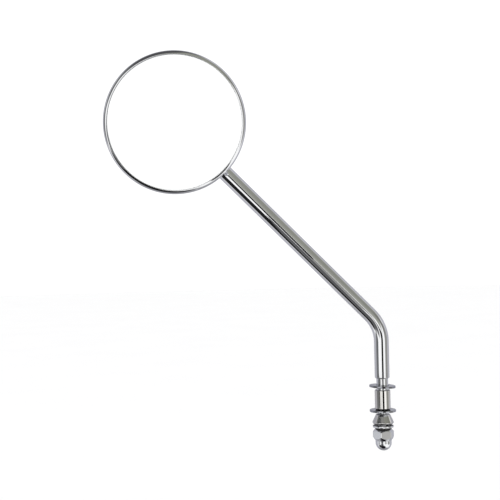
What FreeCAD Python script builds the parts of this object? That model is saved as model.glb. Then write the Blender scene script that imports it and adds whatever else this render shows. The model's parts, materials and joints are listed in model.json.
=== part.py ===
import FreeCAD, Part
import math
import os
import Sketcher

# Round handlebar mirror on a bent bar stem.
# Frame: +Z up along the mounting stud, origin on the stud's axis at the shoulder
# that seats on the lever perch, -Y towards the rider, millimetres.

DIMENSIONS = [
    # stem and stud
    ("stem_radius", 5.0, "bar radius at the shoulder and through the bend"),
    ("stem_end_radius", 5.3, "bar radius where it enters the ball clamp"),
    ("corner_height", 35.6, "height of the bend's corner above the shoulder"),
    ("bend_angle", 44.3, "degrees the bar turns away from the stud's axis"),
    ("bend_radius", 26.0, "radius of the bar's centre line in the bend"),
    ("stem_reach", 198.6, "bend corner to ball centre along the bar"),
    ("stem_end_chamfer", 1.0, "chamfer where the round bar ends at the tongue"),
    ("shoulder_chamfer", 0.5, "chamfer round the bottom of the bar"),
    ("stud_radius", 3.97, "5/16 inch stud"),
    ("stud_length", 42.0, "shoulder to the end of the stud"),
    ("stud_chamfer", 0.8, "chamfer on the end of the stud"),
    ("tongue_width", 9.6, "width of the flat tongue that the clamp grips"),
    ("tongue_start", 9.2, "ball centre to the tip of the tongue"),
    ("tongue_end", 33.0, "ball centre to the full round of the bar"),
    ("tongue_root", 4.0, "length of the tongue inside the round bar"),
    ("tongue_chamfer", 1.0, "corners at the tip of the tongue"),
    # ball joint and its clamp
    ("ball_radius", 7.0, "ball at the back of the mirror head"),
    ("neck_radius", 3.2, "ball stud neck"),
    ("collar_start", 12.0, "ball centre to the hexagon collar"),
    ("collar_fillet", 1.0, "cone between the neck and the shank"),
    ("collar_across_flats", 13.0, "hexagon collar on the ball stud"),
    ("shank_radius", 4.0, "threaded end of the ball stud, M8"),
    ("shank_end", 27.0, "ball centre to the end of the ball stud"),
    ("shank_chamfer", 0.7, "chamfer on the end of the ball stud"),
    ("seat_thickness", 1.15, "nylon seat round the ball"),
    ("seat_gap", 0.05, "running clearance on each side of the seat"),
    ("seat_split", 0.5, "gap between the two seat halves, halved"),
    ("seat_mouth", 4.2, "height of the front seat's opening"),
    ("seat_back", 6.0, "depth of the rear seat's opening"),
    ("plate_gap", 4.8, "gap between the clamp plates, and the tongue's thickness"),
    ("plate_thickness", 2.0, "clamp plate sheet"),
    ("cup_thickness", 1.6, "thinned sheet of the cup pressed in the rear plate"),
    ("plate_end_radius", 11.0, "clamp plate outline round the ball"),
    ("plate_tail_radius", 6.0, "clamp plate outline at the far screw"),
    ("near_screw", 14.6, "ball centre to the near clamp screw"),
    ("far_screw", 26.0, "ball centre to the far clamp screw"),
    ("screw_radius", 2.0, "M4 clamp screws"),
    ("screw_hole_radius", 2.15, "clearance hole for the clamp screws"),
    ("screw_head_radius", 3.6, "clamp screw head"),
    ("screw_head_height", 2.6, "clamp screw head"),
    ("screw_head_chamfer", 0.8, "clamp screw head"),
    ("screw_tip_chamfer", 0.4, "clamp screw"),
    ("screw_overhang", 0.6, "clamp screw beyond its nut"),
    ("screw_socket_flats", 2.5, "hexagon socket in the screw head"),
    ("screw_socket_depth", 1.5, "hexagon socket in the screw head"),
    ("clamp_washer_radius", 3.9, "spring washer under each screw head"),
    ("clamp_washer_thickness", 0.9, "spring washer under each screw head"),
    ("clamp_nut_flats", 7.0, "clamp nut across flats"),
    ("clamp_nut_height", 2.9, "clamp nut"),
    # mirror head
    ("head_pan", 7.0, "degrees the head is turned about the vertical"),
    ("head_lean", 9.3, "degrees the head is leaned downwards"),
    ("rim_radius", 46.2, "outside of the bezel"),
    ("lip_radius", 43.4, "inner edge of the bezel's front lip"),
    ("bead_radius", 3.1, "quarter round bead of the bezel"),
    ("bead_start", 2.9, "back of the dish's flange to the start of the bead"),
    ("bezel_sheet", 0.6, "bezel sheet"),
    ("crimp_radius", 43.8, "inner edge of the bezel's crimp behind the shell"),
    ("crimp_corner", 1.5, "outer corner radius of the crimp"),
    ("dish_bottom", 16.0, "ball centre to the back of the dish"),
    ("dish_depth", 16.1, "back of the dish to the back of its flange"),
    ("dish_flat", 15.0, "radius of the flat centre of the dish"),
    ("dish_radius", 32.0, "radius of the dish's curve"),
    ("dish_sheet", 0.9, "dish sheet"),
    ("flange_radius", 45.5, "outside of the dish's flange"),
    ("pad_radius", 44.6, "backing pad behind the glass"),
    ("pad_thickness", 1.1, "backing pad"),
    ("glass_radius", 44.4, "mirror glass"),
    ("glass_thickness", 2.5, "mirror glass"),
    ("gasket_inner_radius", 43.65, "gasket lip in front of the glass"),
    ("gasket_outer_radius", 45.1, "gasket wall round the glass"),
    ("gasket_lip", 0.6, "thickness of the gasket's front lip"),
    ("gasket_clearance", 0.05, "gap between the glass's edge and the gasket"),
    ("gasket_lift", 0.1, "gap between the pad and the gasket"),
    ("gasket_shoulder_height", 0.2, "shoulder behind the front of the glass"),
    ("gasket_shoulder_width", 0.8, "sloping shoulder under the bezel's bead"),
    ("gasket_slope", 0.05, "fall of the lip's front towards the shoulder"),
    ("plate_disc_radius", 14.0, "reinforcing disc inside the dish"),
    ("plate_disc_thickness", 1.5, "reinforcing disc"),
    ("shank_clearance", 0.05, "running clearance round the ball stud's shank"),
    ("stud_washer_radius", 8.0, "spring washer under the ball stud's nut"),
    ("stud_washer_thickness", 1.2, "spring washer under the ball stud's nut"),
    ("stud_nut_flats", 13.0, "M8 nut"),
    ("stud_nut_height", 6.0, "M8 nut"),
    # hardware on the stud
    ("washer_radius", 8.9, "large flat washers"),
    ("washer_bore", 4.35, "large flat washers"),
    ("washer_thickness", 1.4, "large flat washers"),
    ("upper_washer_height", -5.5, "middle of the upper washer"),
    ("upper_washer_tilt", 3.0, "degrees the loose upper washer hangs askew"),
    ("sleeve_radius", 5.3, "spacer sleeve"),
    ("sleeve_bore", 4.27, "spacer sleeve"),
    ("sleeve_length", 13.3, "spacer sleeve"),
    ("sleeve_top", -7.9, "top of the spacer sleeve"),
    ("sleeve_chamfer", 0.35, "both ends of the spacer sleeve"),
    ("lower_washer_top", -21.3, "top of the lower washer"),
    ("bushing_top", -24.6, "top of the tapered bushing"),
    ("bushing_top_radius", 4.85, "small end of the tapered bushing"),
    ("bushing_radius", 7.2, "large end of the tapered bushing"),
    ("bushing_taper", 5.1, "height of the bushing's taper"),
    ("bushing_height", 6.5, "tapered bushing"),
    ("bushing_foot_radius", 6.4, "foot of the bushing under its chamfer"),
    ("bushing_land", 0.4, "straight band at the bushing's large end"),
    ("bushing_bore", 4.27, "tapered bushing"),
    ("lock_washer_radius", 7.05, "split lock washer"),
    ("lock_washer_bore", 4.3, "split lock washer"),
    ("lock_washer_thickness", 1.4, "split lock washer"),
    ("lock_washer_slit", 0.8, "split lock washer"),
    ("nut_top", -33.4, "seat of the acorn nut"),
    ("nut_across_flats", 13.0, "acorn nut"),
    ("nut_hex_height", 8.6, "acorn nut"),
    ("nut_face_radius", 5.6, "collar on the nut's seat, and inner edge of both bevels"),
    ("nut_collar_height", 1.1, "round collar above the hexagon"),
    ("nut_upper_bevel", 1.0, "fall of the upper bevel for each unit of radius"),
    ("nut_lower_bevel", 1.4, "rise of the lower bevel for each unit of radius"),
    ("nut_dome_radius", 5.45, "acorn nut"),
    ("nut_dome_neck", 1.75, "straight part between hexagon and dome"),
    ("nut_bore_depth", 12.0, "blind thread of the acorn nut"),
    ("nut_turn", 10.0, "degrees the acorn nut is turned at rest"),
    ("thread_clearance", 0.05, "radial clearance in the nut's thread"),
    ("overrun", 1.0, "how far a cutting or joining shape reaches past a surface"),
]

doc = FreeCAD.newDocument("bar_mirror")
sheet = doc.addObject("Spreadsheet::Sheet", "Dims")
for row, (alias, value, note) in enumerate(DIMENSIONS, start=1):
    sheet.set(f"A{row}", alias)
    sheet.set(f"B{row}", str(value))
    sheet.set(f"C{row}", note)
    sheet.setAlias(f"B{row}", alias)
doc.recompute()

X_AXIS = FreeCAD.Vector(1, 0, 0)
Y_AXIS = FreeCAD.Vector(0, 1, 0)
Z_AXIS = FreeCAD.Vector(0, 0, 1)


def dim(alias):
    """A driving dimension, read from the sheet."""
    return float(sheet.get(alias))


def value_of(expression):
    """The present value of an expression over the sheet."""
    result = sheet.evalExpression(expression)
    return float(getattr(result, "Value", result))


# ---------------------------------------------------------------- placements

def diagonal_direction():
    """Unit vector up the diagonal run of the bar, away from the bend."""
    angle = math.radians(dim("bend_angle"))
    return FreeCAD.Vector(-math.sin(angle), 0, math.cos(angle))


def ball_centre():
    return FreeCAD.Vector(0, 0, dim("corner_height")) + diagonal_direction() * dim("stem_reach")


def clamp_placement():
    """Local +Z towards the mirror head, local +X down the bar towards the bend."""
    down_bar = diagonal_direction() * -1
    forward = Y_AXIS * -1
    return FreeCAD.Placement(ball_centre(), FreeCAD.Rotation(down_bar, forward.cross(down_bar), forward))


def seat_placement():
    """The seat is turned with the head's pan but not with its lean."""
    turn = FreeCAD.Rotation(Z_AXIS, dim("head_pan")) * FreeCAD.Rotation(X_AXIS, 90)
    return FreeCAD.Placement(ball_centre(), turn)


def head_placement():
    """Local +Z is the way the glass faces."""
    turn = FreeCAD.Rotation(Z_AXIS, dim("head_pan")) * FreeCAD.Rotation(X_AXIS, 90 + dim("head_lean"))
    return FreeCAD.Placement(ball_centre(), turn)


def at_height(height, turn=0.0, tilt=0.0):
    """A place on the stud's axis, turned about it and tilted about Y."""
    rotation = FreeCAD.Rotation(Y_AXIS, tilt) * FreeCAD.Rotation(Z_AXIS, turn)
    return FreeCAD.Placement(FreeCAD.Vector(0, 0, height), rotation)


# ------------------------------------------------------------ sketch helpers

def add_body(name, placement):
    body = doc.addObject("PartDesign::Body", name)
    body.Label = name
    body.Placement = placement
    return body


def add_sketch(body, name, role):
    """An empty sketch on one of the body's own origin planes."""
    sketch = body.newObject("Sketcher::SketchObject", name)
    plane = next(f for f in body.Origin.OriginFeatures if f.Role == role)
    sketch.AttachmentSupport = [(plane, "")]
    sketch.MapMode = "FlatFace"
    return sketch


def pin_coordinate(sketch, edge, end, axis, expression):
    """Bind one coordinate of an edge's end point to an expression."""
    if expression == "0":
        target = -2 if axis == "X" else -1
        sketch.addConstraint(Sketcher.Constraint("PointOnObject", edge, end, target))
        return
    value = value_of(expression)
    kind = "Distance" + axis
    number = sketch.addConstraint(Sketcher.Constraint(kind, -1, 1, edge, end, value))
    sketch.setExpression(f"Constraints[{number}]", expression)


def add_arc(sketch, start, end, radius, bulge_left):
    """An arc from start to end, bulging to the left or right of its chord."""
    chord = end - start
    middle = (start + end) * 0.5
    left = FreeCAD.Vector(-chord.y, chord.x, 0).normalize()
    rise = math.sqrt(max(radius ** 2 - (chord.Length / 2) ** 2, 0.0))
    side = -1 if bulge_left else 1
    centre = middle + left * (rise * side)
    from_angle = math.atan2(start.y - centre.y, start.x - centre.x)
    to_angle = math.atan2(end.y - centre.y, end.x - centre.x)
    circle = Part.Circle(centre, Z_AXIS, radius)
    if bulge_left:
        return sketch.addGeometry(Part.ArcOfCircle(circle, to_angle, from_angle), False), 2, 1
    return sketch.addGeometry(Part.ArcOfCircle(circle, from_angle, to_angle), False), 1, 2


def draw_outline(sketch, corners):
    """A closed outline. Each corner is (x, y) or (x, y, radius, side): the
    radius and side ("left" or "right") make the edge that follows it an arc."""
    points = [FreeCAD.Vector(value_of(c[0]), value_of(c[1]), 0) for c in corners]
    edges = []
    for index, corner in enumerate(corners):
        start = points[index]
        end = points[(index + 1) % len(points)]
        if len(corner) == 4:
            radius = value_of(corner[2])
            edge, first, last = add_arc(sketch, start, end, radius, corner[3] == "left")
            number = sketch.addConstraint(Sketcher.Constraint("Radius", edge, radius))
            sketch.setExpression(f"Constraints[{number}]", corner[2])
        else:
            edge = sketch.addGeometry(Part.LineSegment(start, end), False)
            first, last = 1, 2
        edges.append((edge, first, last))
    for index, (edge, first, last) in enumerate(edges):
        following, following_first, _ = edges[(index + 1) % len(edges)]
        sketch.addConstraint(Sketcher.Constraint("Coincident", edge, last, following, following_first))
        pin_coordinate(sketch, edge, first, "X", corners[index][0])
        pin_coordinate(sketch, edge, first, "Y", corners[index][1])


def draw_circle(sketch, radius, x="0", y="0"):
    centre = FreeCAD.Vector(value_of(x), value_of(y), 0)
    edge = sketch.addGeometry(Part.Circle(centre, Z_AXIS, value_of(radius)), False)
    number = sketch.addConstraint(Sketcher.Constraint("Radius", edge, value_of(radius)))
    sketch.setExpression(f"Constraints[{number}]", radius)
    pin_coordinate(sketch, edge, 3, "X", x)
    pin_coordinate(sketch, edge, 3, "Y", y)


def draw_hexagon(sketch, across_flats):
    """A hexagon centred on the origin with two of its corners on the X axis."""
    corner = f"({across_flats}) / sqrt(3)"
    half_corner = f"({across_flats}) / sqrt(3) / 2"
    flat = f"({across_flats}) / 2"
    draw_outline(sketch, [
        (corner, "0"),
        (half_corner, flat),
        (f"-{half_corner}", flat),
        (f"-{corner}", "0"),
        (f"-{half_corner}", f"-({flat})"),
        (half_corner, f"-({flat})"),
    ])


# ----------------------------------------------------------- feature helpers

def revolve(body, name, corners, cut=False):
    """Turn an outline, drawn as (radius, height), about the body's Z axis."""
    sketch = add_sketch(body, name + "_profile", "XZ_Plane")
    draw_outline(sketch, corners)
    kind = "PartDesign::Groove" if cut else "PartDesign::Revolution"
    feature = body.newObject(kind, name)
    feature.Profile = sketch
    feature.ReferenceAxis = (sketch, ["V_Axis"])
    feature.Angle = 360
    return feature


def pad(body, name, sketch, length, centred=False):
    feature = body.newObject("PartDesign::Pad", name)
    feature.Profile = sketch
    feature.setExpression("Length", length)
    feature.Midplane = centred
    return feature


def raise_sketch(sketch, height):
    sketch.setExpression("AttachmentOffset.Base.z", height)


def ring(name, placement, outer, inner, thickness):
    """A flat ring standing on its body's origin plane."""
    body = add_body(name, placement)
    sketch = add_sketch(body, "ring_outline", "XY_Plane")
    draw_circle(sketch, outer)
    draw_circle(sketch, inner)
    pad(body, "ring", sketch, thickness)
    return body


def group(name, members):
    """Identical fasteners kept together as one node."""
    bundle = doc.addObject("Part::Compound", name)
    bundle.Label = name
    bundle.Links = members
    return bundle


# ------------------------------------------------------------ stem and clamp

def make_stem():
    body = add_body("stem", FreeCAD.Placement())
    route = add_sketch(body, "bend_route", "XZ_Plane")
    run = "Dims.corner_height - Dims.bend_radius * tan(Dims.bend_angle * 0.5 deg)"
    angle = math.radians(dim("bend_angle"))
    radius = dim("bend_radius")
    rise = value_of(run)
    centre = FreeCAD.Vector(-radius, rise, 0)
    line = route.addGeometry(Part.LineSegment(FreeCAD.Vector(0, 0, 0), FreeCAD.Vector(0, rise, 0)), False)
    arc = route.addGeometry(Part.ArcOfCircle(Part.Circle(centre, Z_AXIS, radius), 0, angle), False)
    route.addConstraint(Sketcher.Constraint("Coincident", line, 1, -1, 1))
    route.addConstraint(Sketcher.Constraint("Vertical", line))
    number = route.addConstraint(Sketcher.Constraint("DistanceY", line, 1, line, 2, rise))
    route.setExpression(f"Constraints[{number}]", run)
    route.addConstraint(Sketcher.Constraint("Tangent", line, 2, arc, 1))
    number = route.addConstraint(Sketcher.Constraint("Radius", arc, radius))
    route.setExpression(f"Constraints[{number}]", "Dims.bend_radius")
    number = route.addConstraint(Sketcher.Constraint("DistanceY", line, 2, arc, 2, radius * math.sin(angle)))
    route.setExpression(f"Constraints[{number}]", "Dims.bend_radius * sin(Dims.bend_angle * 1 deg)")

    section = add_sketch(body, "bar_section", "XY_Plane")
    draw_circle(section, "Dims.stem_radius")
    bar = body.newObject("PartDesign::AdditivePipe", "bent_bar")
    bar.Profile = section
    bar.Spine = (route, ["Edge1", "Edge2"])

    bevel = "Dims.shoulder_chamfer"
    beyond = "Dims.stem_radius + Dims.overrun"
    revolve(body, "shoulder_bevel", [
        (f"Dims.stem_radius - {bevel}", "0"),
        (beyond, f"{bevel} + Dims.overrun"),
        (beyond, "0"),
    ], cut=True)
    revolve(body, "stud", [
        ("0", "Dims.overrun"),
        ("Dims.stud_radius", "Dims.overrun"),
        ("Dims.stud_radius", "-(Dims.stud_length - Dims.stud_chamfer)"),
        ("Dims.stud_radius - Dims.stud_chamfer", "-Dims.stud_length"),
        ("0", "-Dims.stud_length"),
    ])

    start = "Dims.bend_radius * tan(Dims.bend_angle * 0.5 deg)"
    end = "Dims.stem_reach - Dims.tongue_end"
    taper = diagonal_sketch(body, "taper_profile")
    draw_outline(taper, [
        ("0", start),
        ("Dims.stem_radius", start),
        ("Dims.stem_end_radius", f"{end} - Dims.stem_end_chamfer"),
        ("Dims.stem_end_radius - Dims.stem_end_chamfer", end),
        ("0", end),
    ])
    tapered_bar = body.newObject("PartDesign::Revolution", "tapered_bar")
    tapered_bar.Profile = taper
    tapered_bar.ReferenceAxis = (taper, ["V_Axis"])
    tapered_bar.Angle = 360

    half = "Dims.tongue_width / 2"
    tip = "Dims.stem_reach - Dims.tongue_start"
    root = f"{end} - Dims.tongue_root"
    tongue = diagonal_sketch(body, "tongue_outline")
    draw_outline(tongue, [
        (half, root),
        (half, f"{tip} - Dims.tongue_chamfer"),
        (f"{half} - Dims.tongue_chamfer", tip),
        (f"Dims.tongue_chamfer - {half}", tip),
        (f"-{half}", f"{tip} - Dims.tongue_chamfer"),
        (f"-{half}", root),
    ])
    for screw in ("Dims.near_screw", "Dims.far_screw"):
        draw_circle(tongue, "Dims.screw_hole_radius", "0", f"Dims.stem_reach - {screw}")
    pad(body, "tongue", tongue, "Dims.plate_gap", centred=True)
    return body


def diagonal_sketch(body, name):
    """A sketch in the bend's plane whose Y axis runs up the diagonal from the corner."""
    sketch = add_sketch(body, name, "XZ_Plane")
    sketch.AttachmentOffset = FreeCAD.Placement(
        FreeCAD.Vector(0, dim("corner_height"), 0), FreeCAD.Rotation(Z_AXIS, dim("bend_angle")))
    sketch.setExpression("AttachmentOffset.Base.y", "Dims.corner_height")
    sketch.setExpression("AttachmentOffset.Rotation.Angle", "Dims.bend_angle * 1 deg")
    return sketch


def clamp_plate_body(name, height):
    """A flat clamp plate whose lower face is at a height: two round ends and a
    web whose straight sides touch both."""
    body = add_body(name, clamp_placement())
    for x, radius in (("0", "Dims.plate_end_radius"), ("Dims.far_screw", "Dims.plate_tail_radius")):
        end = add_sketch(body, "round_end", "XY_Plane")
        raise_sketch(end, height)
        draw_circle(end, radius, x)
        pad(body, "round_end_plate", end, "Dims.plate_thickness")
    cosine = "((Dims.plate_end_radius - Dims.plate_tail_radius) / Dims.far_screw)"
    sine = f"sqrt(1 - {cosine} ^ 2)"
    big_x = f"Dims.plate_end_radius * {cosine}"
    big_y = f"Dims.plate_end_radius * {sine}"
    small_x = f"Dims.far_screw + Dims.plate_tail_radius * {cosine}"
    small_y = f"Dims.plate_tail_radius * {sine}"
    web = add_sketch(body, "web_outline", "XY_Plane")
    raise_sketch(web, height)
    draw_outline(web, [
        (big_x, big_y),
        (big_x, f"-({big_y})"),
        (small_x, f"-({small_y})"),
        (small_x, small_y),
    ])
    pad(body, "plate_web", web, "Dims.plate_thickness")
    return body


def drill_screw_holes(body, height):
    for number, x in enumerate(("Dims.near_screw", "Dims.far_screw"), start=1):
        hole = body.newObject("PartDesign::SubtractiveCylinder", f"screw_hole_{number}")
        hole.setExpression("Radius", "Dims.screw_hole_radius")
        hole.setExpression("Height", "Dims.plate_thickness + 2 * Dims.overrun")
        hole.setExpression("Placement.Base.x", x)
        hole.setExpression("Placement.Base.z", f"{height} - Dims.overrun")


def make_clamp_plate_front():
    height = "Dims.plate_gap / 2"
    body = clamp_plate_body("clamp_plate_front", height)
    socket = body.newObject("PartDesign::SubtractiveSphere", "seat_socket")
    socket.setExpression("Radius", "Dims.ball_radius + Dims.seat_thickness + 2 * Dims.seat_gap")
    drill_screw_holes(body, height)
    return body


def make_clamp_plate_rear():
    height = "-(Dims.plate_gap / 2 + Dims.plate_thickness)"
    body = clamp_plate_body("clamp_plate_rear", height)
    inner = "(Dims.ball_radius + Dims.seat_thickness + 2 * Dims.seat_gap)"
    outer = f"({inner} + Dims.cup_thickness)"
    top = "(-Dims.plate_gap / 2)"
    revolve(body, "pressed_cup", [
        ("0", f"-{outer}", outer, "right"),
        (f"sqrt({outer} ^ 2 - {top} ^ 2)", top),
        ("0", top),
    ])
    socket = body.newObject("PartDesign::SubtractiveSphere", "seat_socket")
    socket.setExpression("Radius", inner)
    drill_screw_holes(body, height)
    return body


def make_clamp_screws():
    """Socket head screws put in from the back, one at each hole."""
    screws = []
    stack = "(Dims.plate_gap / 2 + Dims.plate_thickness)"
    for number, x in enumerate(("near_screw", "far_screw"), start=1):
        place = clamp_placement()
        place.Base = place.multVec(FreeCAD.Vector(dim(x), 0, 0))
        body = add_body(f"clamp_screw_{number}", place)
        head = f"({stack} + Dims.clamp_washer_thickness)"
        top = f"({head} + Dims.screw_head_height)"
        tip = f"({stack} + Dims.clamp_nut_height + Dims.screw_overhang)"
        revolve(body, "screw", [
            ("0", f"-{top}"),
            ("Dims.screw_head_radius - Dims.screw_head_chamfer", f"-{top}"),
            ("Dims.screw_head_radius", f"-({top} - Dims.screw_head_chamfer)"),
            ("Dims.screw_head_radius", f"-{head}"),
            ("Dims.screw_radius", f"-{head}"),
            ("Dims.screw_radius", f"{tip} - Dims.screw_tip_chamfer"),
            ("Dims.screw_radius - Dims.screw_tip_chamfer", tip),
            ("0", tip),
        ])
        socket = add_sketch(body, "socket_outline", "XY_Plane")
        raise_sketch(socket, f"-{top}")
        draw_hexagon(socket, "Dims.screw_socket_flats")
        pocket = body.newObject("PartDesign::Pocket", "hexagon_socket")
        pocket.Profile = socket
        pocket.setExpression("Length", "Dims.screw_socket_depth")
        pocket.Reversed = True
        screws.append(body)
    return group("clamp_screws", screws)


def make_clamp_washers():
    washers = []
    bottom = dim("plate_gap") / 2 + dim("plate_thickness") + dim("clamp_washer_thickness")
    for number, x in enumerate(("near_screw", "far_screw"), start=1):
        place = clamp_placement()
        place.Base = place.multVec(FreeCAD.Vector(dim(x), 0, -bottom))
        washers.append(ring(f"clamp_washer_{number}", place, "Dims.clamp_washer_radius",
                            "Dims.screw_hole_radius", "Dims.clamp_washer_thickness"))
    return group("clamp_washers", washers)


def make_clamp_nuts():
    nuts = []
    seat = dim("plate_gap") / 2 + dim("plate_thickness")
    for number, x in enumerate(("near_screw", "far_screw"), start=1):
        place = clamp_placement()
        place.Base = place.multVec(FreeCAD.Vector(dim(x), 0, seat))
        body = add_body(f"clamp_nut_{number}", place)
        sketch = add_sketch(body, "nut_outline", "XY_Plane")
        draw_hexagon(sketch, "Dims.clamp_nut_flats")
        draw_circle(sketch, "Dims.screw_radius")
        pad(body, "nut", sketch, "Dims.clamp_nut_height")
        nuts.append(body)
    return group("clamp_nuts", nuts)


# ---------------------------------------------------------------- ball joint

def make_ball_seat(name, near, far, front):
    """Half of the nylon seat: a zone of a hollow sphere between two heights."""
    inner = "(Dims.ball_radius + Dims.seat_gap)"
    outer = f"({inner} + Dims.seat_thickness)"
    body = add_body(name, seat_placement())
    low = near if front else f"-{far}"
    high = far if front else f"-{near}"
    revolve(body, "zone", [
        (f"sqrt({inner} ^ 2 - ({low}) ^ 2)", low),
        (f"sqrt({outer} ^ 2 - ({low}) ^ 2)", low, outer, "right"),
        (f"sqrt({outer} ^ 2 - ({high}) ^ 2)", high),
        (f"sqrt({inner} ^ 2 - ({high}) ^ 2)", high, inner, "left"),
    ])
    return body


def make_ball_stud():
    body = add_body("ball_stud", head_placement())
    junction = "sqrt(Dims.ball_radius ^ 2 - Dims.neck_radius ^ 2)"
    revolve(body, "ball_and_shank", [
        ("0", "-Dims.ball_radius", "Dims.ball_radius", "right"),
        ("Dims.neck_radius", junction),
        ("Dims.neck_radius", "Dims.collar_start"),
        ("Dims.shank_radius", "Dims.collar_start + Dims.collar_fillet"),
        ("Dims.shank_radius", "Dims.shank_end - Dims.shank_chamfer"),
        ("Dims.shank_radius - Dims.shank_chamfer", "Dims.shank_end"),
        ("0", "Dims.shank_end"),
    ])
    collar = add_sketch(body, "collar_outline", "XY_Plane")
    raise_sketch(collar, "Dims.collar_start")
    draw_hexagon(collar, "Dims.collar_across_flats")
    pad(body, "collar", collar, "Dims.dish_bottom - Dims.collar_start")
    return body


def disc_top():
    """Height of the reinforcing disc's inner face, where the stud's washer rests."""
    return dim("dish_bottom") + dim("dish_sheet") + dim("plate_disc_thickness")


def make_stud_washer():
    place = head_placement()
    place.Base = place.multVec(FreeCAD.Vector(0, 0, disc_top()))
    return ring("stud_washer", place, "Dims.stud_washer_radius",
                "Dims.shank_radius + Dims.shank_clearance", "Dims.stud_washer_thickness")


def make_stud_nut():
    place = head_placement()
    place.Base = place.multVec(FreeCAD.Vector(0, 0, disc_top() + dim("stud_washer_thickness")))
    body = add_body("stud_nut", place)
    sketch = add_sketch(body, "nut_outline", "XY_Plane")
    draw_hexagon(sketch, "Dims.stud_nut_flats")
    draw_circle(sketch, "Dims.shank_radius")
    pad(body, "nut", sketch, "Dims.stud_nut_height")
    return body


# --------------------------------------------------------------- mirror head

def make_mirror_shell():
    """Spun dish: flat centre, round wall and a flat flange."""
    body = add_body("mirror_shell", head_placement())
    back = "Dims.dish_bottom"
    flange = "(Dims.dish_bottom + Dims.dish_depth)"
    inner_radius = "(Dims.dish_radius - Dims.dish_sheet)"
    hole = "Dims.shank_radius + Dims.shank_clearance"
    outer_end = "Dims.dish_flat + sqrt(Dims.dish_radius ^ 2 - (Dims.dish_radius - Dims.dish_depth) ^ 2)"
    inner_end = f"Dims.dish_flat + sqrt({inner_radius} ^ 2 - ({inner_radius} - Dims.dish_depth) ^ 2)"
    revolve(body, "dish", [
        (hole, back),
        ("Dims.dish_flat", back, "Dims.dish_radius", "right"),
        (outer_end, flange),
        ("Dims.flange_radius", flange),
        ("Dims.flange_radius", f"{flange} + Dims.dish_sheet"),
        (inner_end, f"{flange} + Dims.dish_sheet", inner_radius, "left"),
        ("Dims.dish_flat", f"{back} + Dims.dish_sheet"),
        (hole, f"{back} + Dims.dish_sheet"),
    ])
    return body


def make_bezel_ring():
    """Rolled ring: quarter round bead in front, crimped behind the flange."""
    body = add_body("bezel_ring", head_placement())
    crimp = "(Dims.dish_bottom + Dims.dish_depth - Dims.bezel_sheet)"
    bead = "(Dims.dish_bottom + Dims.dish_depth + Dims.bead_start)"
    centre = "(Dims.rim_radius - Dims.bead_radius)"
    inner_bead = "(Dims.bead_radius - Dims.bezel_sheet)"
    reach = f"(Dims.lip_radius - {centre})"
    inside = "Dims.rim_radius - Dims.bezel_sheet"
    revolve(body, "rolled_ring", [
        ("Dims.crimp_radius", crimp),
        ("Dims.rim_radius - Dims.crimp_corner", crimp, "Dims.crimp_corner", "right"),
        ("Dims.rim_radius", f"{crimp} + Dims.crimp_corner"),
        ("Dims.rim_radius", bead, "Dims.bead_radius", "right"),
        ("Dims.lip_radius", f"{bead} + sqrt(Dims.bead_radius ^ 2 - {reach} ^ 2)"),
        ("Dims.lip_radius", f"{bead} + sqrt({inner_bead} ^ 2 - {reach} ^ 2)", inner_bead, "left"),
        (inside, bead),
        (inside, f"{crimp} + Dims.bezel_sheet"),
        ("Dims.crimp_radius", f"{crimp} + Dims.bezel_sheet"),
    ])
    return body


def ledge_height():
    """Front of the dish's flange, where the pad and glass rest."""
    return "(Dims.dish_bottom + Dims.dish_depth + Dims.dish_sheet)"


def make_disc(name, radius, thickness, height):
    body = add_body(name, head_placement())
    sketch = add_sketch(body, "disc_outline", "XY_Plane")
    raise_sketch(sketch, height)
    draw_circle(sketch, radius)
    pad(body, "disc", sketch, thickness)
    return body


def make_backing_pad():
    return make_disc("backing_pad", "Dims.pad_radius", "Dims.pad_thickness", ledge_height())


def make_mirror_glass():
    height = f"{ledge_height()} + Dims.pad_thickness"
    return make_disc("mirror_glass", "Dims.glass_radius", "Dims.glass_thickness", height)


def make_glass_gasket():
    """Vinyl strip with one leg in front of the glass and one round its edge."""
    body = add_body("glass_gasket", head_placement())
    bottom = f"({ledge_height()} + Dims.pad_thickness + Dims.gasket_lift)"
    glass_front = f"({ledge_height()} + Dims.pad_thickness + Dims.glass_thickness)"
    wall = "Dims.glass_radius + Dims.gasket_clearance"
    revolve(body, "strip", [
        ("Dims.gasket_inner_radius", glass_front),
        (wall, glass_front),
        (wall, bottom),
        ("Dims.gasket_outer_radius", bottom),
        ("Dims.gasket_outer_radius", f"{glass_front} - Dims.gasket_shoulder_height"),
        ("Dims.gasket_outer_radius - Dims.gasket_shoulder_width",
         f"{glass_front} + Dims.gasket_lip - Dims.gasket_slope"),
        ("Dims.gasket_inner_radius", f"{glass_front} + Dims.gasket_lip"),
    ])
    return body


def make_reinforcing_disc():
    place = head_placement()
    place.Base = place.multVec(FreeCAD.Vector(0, 0, dim("dish_bottom") + dim("dish_sheet")))
    return ring("reinforcing_disc", place, "Dims.plate_disc_radius",
                "Dims.shank_radius + Dims.shank_clearance", "Dims.plate_disc_thickness")


# ------------------------------------------------------- hardware on the stud

def make_upper_washer():
    """The loose washer lies a little askew; its outline is centred on its own middle."""
    body = add_body("upper_washer", at_height(dim("upper_washer_height"), tilt=dim("upper_washer_tilt")))
    sketch = add_sketch(body, "washer_outline", "XY_Plane")
    draw_circle(sketch, "Dims.washer_radius")
    draw_circle(sketch, "Dims.washer_bore")
    pad(body, "washer", sketch, "Dims.washer_thickness", centred=True)
    return body


def make_lower_washer():
    place = at_height(dim("lower_washer_top") - dim("washer_thickness"))
    return ring("lower_washer", place, "Dims.washer_radius", "Dims.washer_bore", "Dims.washer_thickness")


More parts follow.
